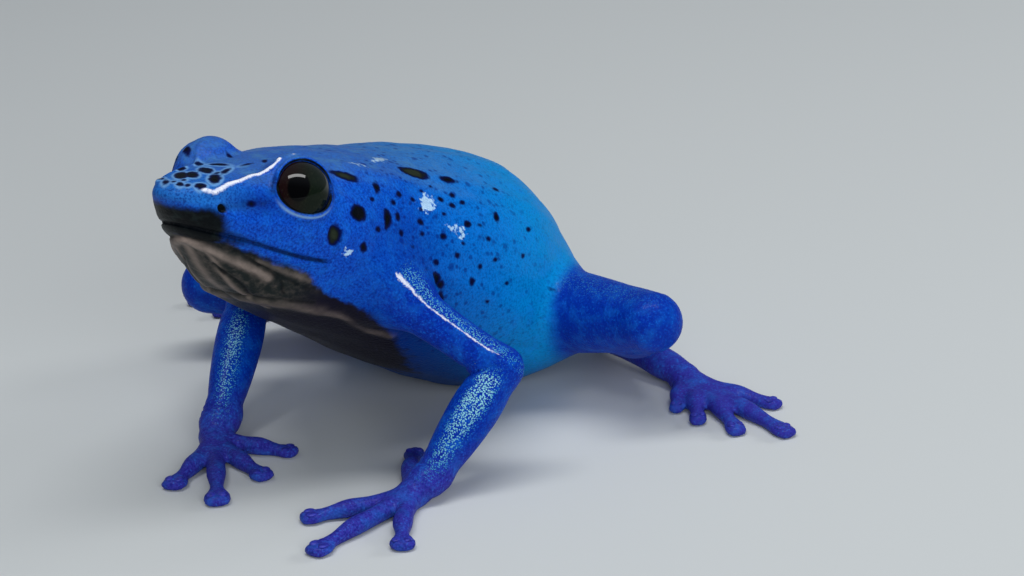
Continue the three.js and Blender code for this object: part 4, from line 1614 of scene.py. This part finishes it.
@dataclass(frozen=True)
class LimbMap:
    """Where highlights are painted on the limbs: stippled bands, and a highlight line on each upper arm.
    """

    light_from: Triple = (0.45, -0.72, 0.53)
    lit: Ramp = Ramp(0.68, 0.98)
    line_from: Triple = (0.6, -0.45, 0.67)
    no_line: float = 3.0
    hidden_width: float = -0.15
    elbow: Ramp = Ramp(-0.4, 0.4)
    near: Ramp = Ramp(1.0, 0.5)
    top: Ramp = Ramp(0.55, 0.95)
    off_floor: Ramp = Ramp(1.0, 3.6)
    leg_shares: tuple[float, float] = (0.4, 0.34)
    fore_share: float = 0.76
    fore_high: Ramp = Ramp(4.0, 7.0, 0.22)
    begins: Ramp = Ramp(-0.03, 0.08)
    faces: Ramp = Ramp(0.0, 0.25)
    band_share: float = 0.66
    band_inner: Ramp = Ramp(-0.1, 0.1)
    band_outer: Ramp = Ramp(1.35, 0.7)
    line_ends: Ramp = Ramp(1.05, 0.9)
    line_half: float = 0.05
    line_swell: Peak = Peak(0.02, 0.09, 0.17)
    same: float = 1e-9


@dataclass
class Skin:
    """The seamless skin over every node of flesh."""

    form: FrogForm
    nodes: Sequence[str]
    spacing: float = 0.27
    kept_share: float = 0.72
    head_margin: Triple = (0.0, 1.0, -1.0)
    spot_margin: float = 0.5
    floor_share: float = 0.5
    box_margin: float = 1.0
    head_rear_y: float = 12.5
    head_low_z: float = -5.5
    head_half: float = 8.0
    spot_rim: float = 0.2
    settling: tuple[tuple[int, float], ...] = ((2, 0.2), (3, 0.12), (2, 0.08))
    lips_place: tuple[float, float] = (-0.1, 0.42)
    mouth_end_y: float = 11.0
    nostril_reach: float = 0.6
    rim_places: tuple[tuple[float, float], ...] = ((0.1, 0.5), (0.25, 0.65))
    ridge_reach: float = 0.35
    snout_rim: float = 0.15
    body_map: SkinMap = SkinMap()
    lid_map: LidMap = LidMap()
    mouth_map: MouthMap = MouthMap()
    limb_map: LimbMap = LimbMap()

    def build(self) -> bpy.types.Object:
        """Builds the skin and lets it stand for the nodes of flesh."""
        form = self.form
        low = np.array(CAD_BOX[0]) / MM - self.box_margin
        high = np.array(CAD_BOX[1]) / MM + self.box_margin
        low[2] = -(2 + self.floor_share) * self.spacing
        points, quads = SurfaceNet(self.spacing).mesh(form.coarse, low, high)
        points = relax(points, self._edges(quads), 2)
        first, second, last = self.settling
        points = settle(points, form.coarse, *first)
        points, faces, edges = self._refine(points, quads.tolist(), self._on_head)
        points = relax(points, edges, 1, self._head_share(points))
        points = settle(points, form.fine, *second)
        points, faces, edges = self._refine(points, faces, self._on_detail)
        for _ in range(2):
            head = self._head_share(points)
            points = relax(points, edges, 1, head)
            points[head > 0] = settle(points[head > 0], form.fine, *last)
        piece = make_piece("skin", points, faces, SkinFinish().make())
        self._thin_out(piece)
        points = self._numbers(piece, "vertices", "co") / MM
        for name, values in self._marks(points, self._numbers(piece, "vertex_normals", "vector")).items():
            keep_numbers(piece, name, values)
        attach(piece, "root")
        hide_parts(*self.nodes)
        report(piece)
        return piece

    @staticmethod
    def _edges(quads: Array) -> Array:
        """Each edge of the quads once."""
        pairs = np.concatenate([quads[:, [i, (i + 1) % 4]] for i in range(4)])
        return np.unique(np.sort(pairs, 1), axis=0)

    @staticmethod
    def _numbers(piece: bpy.types.Object, kind: str, name: str) -> Array:
        """The piece's places or outward directions at its vertices."""
        numbers = np.zeros(3 * len(piece.data.vertices), np.float32)
        getattr(piece.data, kind).foreach_get(name, numbers)
        return numbers.reshape(-1, 3)

    def _thin_out(self, piece: bpy.types.Object) -> None:
        """Joins small triangles away from head and spots, where the skin is plain."""
        b = self.form.stance.to_body(self._numbers(piece, "vertices", "co") / MM)
        away = ~self._in_head(b - self.head_margin) & (self.form.spots.distance(b) > self.spot_margin)
        plain = piece.vertex_groups.new(name="plain")
        plain.add(np.nonzero(away)[0].tolist(), 1.0, "REPLACE")
        modifier = piece.modifiers.new("thinner", "DECIMATE")
        modifier.ratio = self.kept_share
        modifier.vertex_group = plain.name
        ready = piece.evaluated_get(bpy.context.evaluated_depsgraph_get())
        mesh = bpy.data.meshes.new_from_object(ready)
        piece.modifiers.remove(modifier)
        piece.vertex_groups.remove(plain)
        old, piece.data = piece.data, mesh
        bpy.data.meshes.remove(old)

    def _refine(self, points: Array, faces: list, chosen: Field) -> tuple[Array, list, Array]:
        """Splits chosen faces in four.

        Args:
            points: the mesh's points.
            faces: its faces.
            chosen: picks faces by their middles, given in the body frame.

        Returns:
            The new points, faces and edges.
        """
        mesh = bmesh.new()
        vertices = [mesh.verts.new(point) for point in points]
        for face in faces:
            mesh.faces.new([vertices[i] for i in face])
        mesh.faces.ensure_lookup_table()
        centres = np.array([face.calc_center_median() for face in mesh.faces])
        picked = np.nonzero(chosen(self.form.stance.to_body(centres)))[0]
        cut = {edge for i in picked for edge in mesh.faces[i].edges}
        bmesh.ops.subdivide_edges(mesh, edges=list(cut), cuts=1, use_grid_fill=True)
        mesh.verts.index_update()
        points = np.array([vertex.co for vertex in mesh.verts])
        faces = [[vertex.index for vertex in face.verts] for face in mesh.faces]
        edges = np.array([[vertex.index for vertex in edge.verts] for edge in mesh.edges])
        mesh.free()
        return points, faces, edges

    def _head_share(self, points: Array) -> Array:
        """1 on the head, 0 elsewhere."""
        return self._in_head(self.form.stance.to_body(points)).astype(float)

    def _in_head(self, b: Array) -> Array:
        """Which points are on the head."""
        low = b[:, 2] > self.head_low_z
        return (b[:, 1] < self.head_rear_y) & low & (np.abs(b[:, 0]) < self.head_half)

    def _on_head(self, b: Array) -> Array:
        """Which points are on the head or at the edge of a spot."""
        return self._in_head(b) | (np.abs(self.form.spots.distance(b)) < self.spot_rim)

    def _on_detail(self, b: Array) -> Array:
        """Which points are on lips, lids, nostrils, the cheek's ridge or the snout's spots."""
        form = self.form
        side, y, z = np.abs(b[:, 0]), b[:, 1], b[:, 2]
        lids = form.body.lids
        near_lips = np.abs(self._over_mouth(y, z) - self.lips_place[0]) < self.lips_place[1]
        lips = near_lips & (y < self.mouth_end_y)
        nostrils = form.from_nostril(y, z) < self.nostril_reach
        nostrils &= side > form.nostril_side.start
        view = lids.around(b)
        (out, out_reach), (back, back_reach) = self.rim_places
        rims = np.abs(view.far - lids.eye_radius - out) < out_reach
        rims &= np.abs(view.beyond - back) < back_reach
        mirrored = np.stack([side, y, z], 1)
        ridge = np.minimum(*(line_distance(mirrored, line) for _, line in form.lines[:2]))
        ridge = ridge < self.ridge_reach
        snout = np.abs(form.snout_spots.distance(b)) < self.snout_rim
        return self._in_head(b) & (lips | nostrils | rims | ridge | snout)

    def _over_mouth(self, y: Array, z: Array) -> Array:
        """How high points are over the line of the mouth."""
        return z - self.form.body.head.mouth_height(np.clip(y, 0, self.mouth_end_y))

    def _marks(self, points: Array, normals: Array) -> dict[str, Array]:
        """The numbers that the skin's finish reads at each vertex.

        Args:
            points: the vertices, in the floor frame.
            normals: the outward directions there.

        Returns:
            The values by name.
        """
        form, at = self.form, self.body_map
        b = form.stance.to_body(points)
        side, y, z = np.abs(b[:, 0]), b[:, 1], b[:, 2]
        fields = np.stack([limb.field(points) for limb in form.limbs])
        limb = at.limb_edge(form.body.field(b) - fields.min(0))
        limb *= at.limb_begins(np.linalg.norm(b - at.trunk_middle, axis=1))
        body = 1 - limb
        under = self._over_mouth(y, z)
        over_blue = z - at.blue_ends_z(y)
        # The dark underside: its own dark skin, with painted shadow under the belly.
        belly = np.maximum(at.belly_edge(over_blue), at.chin_edge(under) * at.chin_ends(y))
        snout_spot = form.snout_spots.distance(b)
        # Painted shade: in the hollow before the eye, on the lower flank and on the front of the flank.
        loreal = at.loreal_y(y) * at.loreal_z(z)
        shade = at.shade_edge(over_blue) * at.shade_begins(y)
        front_flank = at.flank_y(y) * at.flank_z(z)
        # Painted reflection of the sky: grey-blue on skin that faces up, and on the far lid.
        sky_reflection_back = at.sky_reflection_share * at.facing_up(normals[:, 2]) * at.sky_reflection_back(y)
        far_lid = at.far_lid[0](-b[:, 0]) * at.far_lid[1](z) * at.far_lid[2](y)
        sky_reflection = np.maximum(sky_reflection_back, at.far_lid_share * far_lid)
        lines = self._line_marks(np.stack([side, y, z], 1))
        eye = self._lid_marks(b)
        # Black mask and dark lips, with painted shade under the snout, in the nostrils, along sunk
        # creases and round the lids.
        mask_and_shade = np.maximum.reduce([self._mask(side, y, z, under), lines["dark"], eye["dark"]])
        return {
            "rear": at.to_rear(y),
            "limb": limb,
            "violet": at.low_violet(points[:, 2]) * limb,
            **self._limb_light(points, normals, fields),
            "sky_reflection": sky_reflection * at.sky_reflection_begins(y) * body,
            "spot": np.minimum(form.spots.distance(b), snout_spot),
            "olive": form.olive_spots.distance(b) + at.olive_inset,
            "dots": at.dots_begin(y) * at.dots_end(y) * body * (1 - belly),
            "shade": np.maximum.reduce([shade, loreal, front_flank]) * body,
            "under": belly * body,
            "throat": at.throat_ends(y),
            "pale": np.maximum(lines["pale"], self._chin(side, y, under)) * body,
            "mask_and_shade": mask_and_shade * body,
            "mouth_shade": self._lip_lines(y, under) * body,
            "snout": at.snout_ends(y) * at.snout_top(z),
            "net": at.net_edge(snout_spot) * at.net_ends(y) * at.net_top(z),
            "lid": eye["pale"],
            # painted highlight along the ridge, on the frog's left side only
            "gleam": lines["gleam"] * at.near_side(b[:, 0]),
            # painted glints on the wet skin
            "wet": form.wet_glint_spots.distance(b),
            "grain": at.least_grain + at.grain_begins(y),
        }

    def _line_marks(self, mirrored: Array) -> dict[str, Array]:
        """How much pale, painted shade and painted highlight the lines on the body give each vertex."""
        at = self.body_map
        spreads = {"pale": at.pale_spread, "dark": at.dark_spread, "gleam": at.gleam_spread}
        marks = {name: np.zeros(len(mirrored)) for name in spreads}
        for crease, line in self.form.lines:
            for name, amount in zip(marks, (crease.pale, crease.dark, crease.gleam)):
                if amount:
                    near = bell(line_distance(mirrored, line), spreads[name] * crease.width)
                    marks[name] = np.maximum(marks[name], amount * near)
        return marks

    def _lid_marks(self, b: Array) -> dict[str, Array]:
        """The pale lower lids, and painted shade inside their edges, in the corners of both lids and in
        the grooves under the lower lids.
        """
        lids, at = self.form.body.lids, self.lid_map
        view = lids.around(b)
        beyond, high = view.beyond, view.high
        near = smooth(view.far, *(lids.eye_radius + reach for reach in at.reach))
        corners = at.corner(np.abs(high - at.corner_place)) * at.corner_line(beyond)
        grooves = at.lower(high) * (at.grooves[0](beyond) + at.grooves[1](beyond))
        dark = np.maximum.reduce([at.inside(beyond), corners, grooves])
        return {"pale": at.pale_low(high) * at.pale_line(beyond) * near, "dark": dark * near}

    def _mask(self, side: Array, y: Array, z: Array, under: Array) -> Array:
        """The black mask of the snout's front with painted shade under it, painted shade in the nostrils,
        and the dark of the lips.
        """
        at = self.mouth_map
        lean = at.mask_lean[0] * (at.mask_lean[1] - z)
        front = at.mask_edge(z - self.body_map.mask_top_z(y))
        front = front * at.mask_rear(y - at.mask_rear_y - lean) * at.mask_low(under)
        nostril = at.nostril(self.form.from_nostril(y, z)) * self.form.nostril_side(side)
        lower = at.lower_lip(under) * at.lower_lip_rear(y)
        upper = at.upper_lip(under) * at.upper_lip_rear(y)
        return np.maximum.reduce([front, nostril, lower, upper])

    def _lip_lines(self, y: Array, under: Array) -> Array:
        """Painted shade in the line of the mouth and in the groove below the lower lip."""
        at = self.mouth_map
        below = at.groove(under) * at.groove_rear(y) * at.groove_front(y)
        return np.maximum(at.mouth_shade(under) * at.slit_rear(y), below)

    def _chin(self, side: Array, y: Array, under: Array) -> Array:
        """The pale rim of the chin below the mask, and the pale middle of the throat, both partly painted
        highlight.
        """
        at = self.mouth_map
        middle = at.throat_line(side) * at.throat_low(under) * at.throat_rear(y)
        return np.maximum(at.chin_rim(under) * at.chin_rim_rear(y), middle)

    def _limb_light(self, points: Array, normals: Array, fields: Array) -> dict[str, Array]:
        """The painted highlight bands along the limbs and the painted highlight line on each upper arm.

        Args:
            points: the vertices, in the floor frame.
            normals: the outward directions there.
            fields: each limb's own values there.

        Returns:
            The band's strength, the distance to the line and half the line's width, by name.
        """
        at, height = self.limb_map, points[:, 2]
        lit = at.lit(normals @ unit(at.light_from))
        band = np.zeros(len(points))
        line = np.full(len(points), at.no_line)
        width = np.full(len(points), at.hidden_width)
        for i, limb in enumerate(self.form.limbs):
            first, second = limb.segments[:2]
            mine = fields[i] <= fields.min(0) + at.same
            fore_part = at.elbow(first.field(points) - second.field(points))
            upper_part = 1 - fore_part
            near = at.near(fields[i]) * mine
            lower = near * lit * at.off_floor(height) * fore_part
            if i >= len(ARMS):
                top = at.top(normals[:, 2]) * upper_part
                parts = np.maximum(at.leg_shares[0] * lower, at.leg_shares[1] * top)
                band = np.maximum(band, near * parts)
                continue
            lower = lower * (at.fore_share + at.fore_high(height))
            axis = unit(first.end - first.start)
            facing = np.array(at.line_from) * [np.sign(first.start[0]), 1, 1]
            facing = unit(facing - axis * (facing @ axis))
            across = np.cross(facing, axis)
            across = across * np.sign(across[2])
            place = (points - first.start) @ axis / np.linalg.norm(first.end - first.start)
            aside = (normals @ across) * first.radii(np.clip(place, 0, 1))
            begun = at.begins(place) * at.faces(normals @ facing)
            upper = at.band_share * near * at.band_inner(aside) * at.band_outer(aside) * begun
            band = np.maximum(band, np.maximum(upper * upper_part, lower))
            shown = near * begun * upper_part * at.line_ends(place)
            half = at.line_half + at.line_swell(place)
            line = np.where(mine, aside, line)
            width = np.where(mine, (half - at.hidden_width) * shown + at.hidden_width, width)
        return {"limb_highlight": band, "line": line, "line_width": width}


@dataclass
class Eyeball:
    """One eye: a ball with a cornea that bulges a little."""

    side: Side
    lids: Lids
    stance: Stance
    gaze: dict[Side, Triple] = field(
        default_factory=lambda: {Side.LEFT: (0.6, -0.76, 0.22), Side.RIGHT: (0.86, -0.3, 0.26)}
    )
    rings: int = 40
    sectors: int = 64
    cornea_bulge: float = 0.06
    cornea_edge: Ramp = Ramp(0.75, 1.0)

    def build(self, material: bpy.types.Material) -> bpy.types.Object:
        """Builds the eye and lets it stand for its node."""
        look = unit(self.gaze[self.side]) * np.array([self.side.value, 1, 1])
        up = unit(np.array([0.0, 0.0, 1.0]) - look * look[2])
        level = np.cross(up, look)
        lean = np.pi * np.arange(1, self.rings) / self.rings
        turn = 2 * np.pi * np.arange(self.sectors) / self.sectors
        lean, turn = (grid.ravel() for grid in np.meshgrid(lean, turn, indexing="ij"))
        ways = np.stack([np.sin(lean) * np.cos(turn), np.sin(lean) * np.sin(turn), np.cos(lean)], 1)
        ways = np.concatenate([[[0, 0, 1]], ways, [[0, 0, -1]]])
        radius = self.lids.eye_radius + self.cornea_bulge * self.cornea_edge(ways[:, 2])
        centre = np.array(self.lids.eye_place)
        if self.side is Side.RIGHT:
            centre = centre + np.array(self.lids.far_shift)
        centre = centre * np.array([self.side.value, 1, 1])
        directions = ways @ np.stack([level, up, look])
        points = self.stance.to_floor(centre + directions * radius[:, None])
        piece = make_piece(f"eyeball_{self.side.label}", points, self._faces(len(points)), material)
        views = {"ahead": ways[:, 2], "across": ways[:, 0] * self.side.value, "high": ways[:, 1]}
        for name, values in views.items():
            keep_numbers(piece, name, values)
        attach(piece, "root")
        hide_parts(f"eye_{self.side.label}")
        report(piece)
        return piece

    def _faces(self, count: int) -> list[list[int]]:
        """The faces of the ball, which point outwards."""
        def at(ring: int, sector: int) -> int:
            return 1 + ring * self.sectors + sector % self.sectors

        faces = []
        for sector in range(self.sectors):
            faces.append([0, at(0, sector), at(0, sector + 1)])
            faces.append([count - 1, at(self.rings - 2, sector + 1), at(self.rings - 2, sector)])
            for ring in range(self.rings - 2):
                lower = [at(ring + 1, sector), at(ring + 1, sector + 1)]
                faces.append([at(ring, sector), *lower, at(ring, sector + 1)])
        return faces


@dataclass
class Scutes:
    """The two small pads on top of each fingertip and toe tip."""

    limbs: Sequence[Limb]
    pad_half: Triple = (0.32, 0.42, 0.12)
    size_names: tuple[str, str, str] = ("Width", "Length", "Height")
    place: float = 0.95
    apart: float = 0.42
    sink: float = 0.03
    usual_disc: float = 0.9
    sectors: int = 14
    rings: int = 8

    def build(self) -> bpy.types.Object:
        """Builds all the pads as one mesh."""
        points, turns, sizes = self._places()
        mesh = bpy.data.meshes.new("scute_places")
        mesh.from_pydata((points * MM).tolist(), [], [])
        for name, values in (("turn", turns), ("size", sizes)):
            mesh.attributes.new(name, "FLOAT", "POINT").data.foreach_set("value", values)
        source = bpy.data.objects.new("scute_places", mesh)
        bpy.context.scene.collection.objects.link(source)
        tree = self._tree(ScuteFinish().make())
        modifier = source.modifiers.new("pads", "NODES")
        modifier.node_group = tree
        values = dict(zip(self.size_names, self.pad_half))
        for socket in tree.interface.items_tree:
            if socket.item_type == "SOCKET" and socket.name in values:
                modifier[socket.identifier] = values[socket.name] * MM
        ready = source.evaluated_get(bpy.context.evaluated_depsgraph_get())
        piece = bpy.data.objects.new("scutes", bpy.data.meshes.new_from_object(ready))
        bpy.data.objects.remove(source)
        bpy.context.scene.collection.objects.link(piece)
        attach(piece, "root")
        report(piece)
        return piece

    def _places(self) -> tuple[Array, Array, Array]:
        """Where the pads lie, which way they point and how large they are."""
        points, turns, sizes = [], [], []
        for limb in self.limbs:
            for digit in limb.digits:
                _, side = digit.axes()
                place = np.array([self.place])
                middle = digit.centre(place)[0]
                rise = float(digit.heights(place)[0]) * math.sqrt(1 - self.apart**2)
                for way in (-1, 1):
                    offset = side * way * self.apart * digit.disc
                    points.append(middle + offset + np.array([0.0, 0.0, rise - self.sink]))
                    turns.append(math.radians(digit.degrees))
                    sizes.append(digit.disc / self.usual_disc)
        return np.array(points), np.array(turns), np.array(sizes)

    def _tree(self, material: bpy.types.Material) -> bpy.types.NodeTree:
        """Geometry nodes that set a flattened ball on each place."""
        tree = bpy.data.node_groups.new("scute_pads", "GeometryNodeTree")
        sockets = tree.interface
        sockets.new_socket("Geometry", in_out="INPUT", socket_type="NodeSocketGeometry")
        for name in self.size_names:
            sockets.new_socket(name, in_out="INPUT", socket_type="NodeSocketFloat")
        sockets.new_socket("Geometry", in_out="OUTPUT", socket_type="NodeSocketGeometry")

        def add(kind: str, **inputs) -> bpy.types.NodeSocket:
            """The first output of a new node with these inputs."""
            made = add_node(tree, kind, None, {key.replace("_", " "): v for key, v in inputs.items()})
            return next((socket for socket in made.outputs if socket.enabled), None)

        given = add_node(tree, "NodeGroupInput").outputs
        halves = dict(zip("XYZ", (given[name] for name in self.size_names)))
        kind = "GeometryNodeMeshUVSphere"
        ball = add(kind, Segments=self.sectors, Rings=self.rings, Radius=1.0)
        pad = add("GeometryNodeTransform", Geometry=ball, Scale=add("ShaderNodeCombineXYZ", **halves))
        turn, size = (add("GeometryNodeInputNamedAttribute", Name=name) for name in ("turn", "size"))
        laid = add(
            "GeometryNodeInstanceOnPoints", Points=given["Geometry"], Instance=pad,
            Rotation=add("ShaderNodeCombineXYZ", Z=turn), Scale=size,
        )
        real = add("GeometryNodeRealizeInstances", Geometry=laid)
        smoothed = add("GeometryNodeSetShadeSmooth", Geometry=real)
        finished = add("GeometryNodeSetMaterial", Geometry=smoothed, Material=material)
        add("NodeGroupOutput", Geometry=finished)
        return tree


# The studio


@dataclass(frozen=True)
class Camera:
    """A camera at the photograph's viewing angle, with the frog turned onto a level floor."""

    azimuth: float = math.radians(40.323)
    elevation: float = math.radians(20.128)
    roll: float = math.radians(-4.924)
    distance: float = 300.0
    focal_pixels: float = 4065.0
    frame_pixels: tuple[int, int] = (1024, 576)
    pivot_pixel: tuple[float, float] = (336.3, 241.4)
    sensor: float = 36.0
    clip: tuple[float, float] = (0.01, 10.0)

    def build(self, pivot: Array) -> None:
        """Places the camera so that the pivot shows at its pixel."""
        a, e, r = self.azimuth, self.elevation, self.roll
        back = np.array([math.sin(a) * math.cos(e), -math.cos(a) * math.cos(e), math.sin(e)])
        level = unit(np.cross([0.0, 0.0, 1.0], back))
        rise = np.cross(back, level)
        right = level * math.cos(r) + rise * math.sin(r)
        up = rise * math.cos(r) - level * math.sin(r)
        across = (self.frame_pixels[0] / 2 - self.pivot_pixel[0]) / self.focal_pixels
        down = (self.frame_pixels[1] / 2 - self.pivot_pixel[1]) / self.focal_pixels
        ahead = unit(-back + across * right - down * up)
        right = unit(np.cross(ahead, up))
        axes = np.stack([right, np.cross(right, ahead), -ahead], 1)
        data = bpy.data.cameras.new("camera")
        data.sensor_width = self.sensor
        data.lens = self.focal_pixels * self.sensor / self.frame_pixels[0]
        data.clip_start, data.clip_end = self.clip
        camera = bpy.data.objects.new("camera", data)
        turned = Matrix(axes.tolist()).to_4x4()
        camera.matrix_world = Matrix.Translation(Vector((pivot + back * self.distance) * MM)) @ turned
        bpy.context.scene.collection.objects.link(camera)
        bpy.context.scene.camera = camera


@dataclass(frozen=True)
class SoftBox:
    """A soft square light, in millimetres, that points at a target."""

    name: str
    place: Triple
    target: Triple
    size: tuple[float, float]
    power: float
    tint: Triple = (1.0, 1.0, 1.0)
    mirrored: bool = True

    def build(self) -> None:
        """Places the light."""
        data = bpy.data.lights.new(self.name, "AREA")
        data.shape = "RECTANGLE"
        data.size, data.size_y = self.size[0] * MM, self.size[1] * MM
        data.energy = self.power
        data.color = self.tint
        light = bpy.data.objects.new(self.name, data)
        light.visible_glossy = self.mirrored
        place, target = Vector(self.place) * MM, Vector(self.target) * MM
        turned = (target - place).to_track_quat("-Z", "Y").to_matrix().to_4x4()
        light.matrix_world = Matrix.Translation(place) @ turned
        bpy.context.scene.collection.objects.link(light)


@dataclass
class Studio:
    """The pale floor, the soft lights and the camera."""

    floor_half: float = 1500.0
    floor_drop: float = 0.02
    sky: Triple = srgb(204, 214, 228)
    sky_strength: float = 0.22
    lights: tuple[SoftBox, ...] = (
        SoftBox("key_light", (15, -20, 330), (0, 0, 8), (330, 80), 0.6),
        SoftBox("fill_light", (280, -220, 150), (0, 0, 10), (260, 160), 0.78, (0.95, 0.98, 1.0), False),
        SoftBox("rim_light", (175, 262, 133), (0, 0, 12), (130, 80), 0.3, mirrored=False),
    )

    def build(self, pivot: Array) -> None:
        """Builds the studio round the model."""
        scene = bpy.context.scene
        world = bpy.data.worlds.new("studio_world")
        world.use_nodes = True
        background = world.node_tree.nodes["Background"]
        background.inputs["Color"].default_value = (*self.sky, 1.0)
        background.inputs["Strength"].default_value = self.sky_strength
        scene.world = world
        scene.view_settings.view_transform = "Standard"
        half, z = self.floor_half, -self.floor_drop
        corners = np.array([(-half, -half, z), (half, -half, z), (half, half, z), (-half, half, z)])
        floor = make_piece("floor", corners, [[0, 1, 2, 3]], FloorFinish().make())
        for light in self.lights:
            light.build()
        Camera().build(pivot)


def main() -> None:
    """Builds the frog and its studio."""
    logging.basicConfig(level=logging.INFO, format="%(name)s: %(message)s")
    form = FrogForm()
    pivot = form.stance.to_floor(np.array([[0.0, form.stance.pivot_y, 0.0]]))[0]
    Studio().build(pivot)
    flesh = [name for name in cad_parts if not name.startswith("eye_")]
    Skin(form, flesh).build()
    eye_finish = EyeFinish().make()
    for side in Side:
        Eyeball(side, form.body.lids, form.stance).build(eye_finish)
    Scutes(form.limbs).build()


if __name__ == "__main__":
    main()
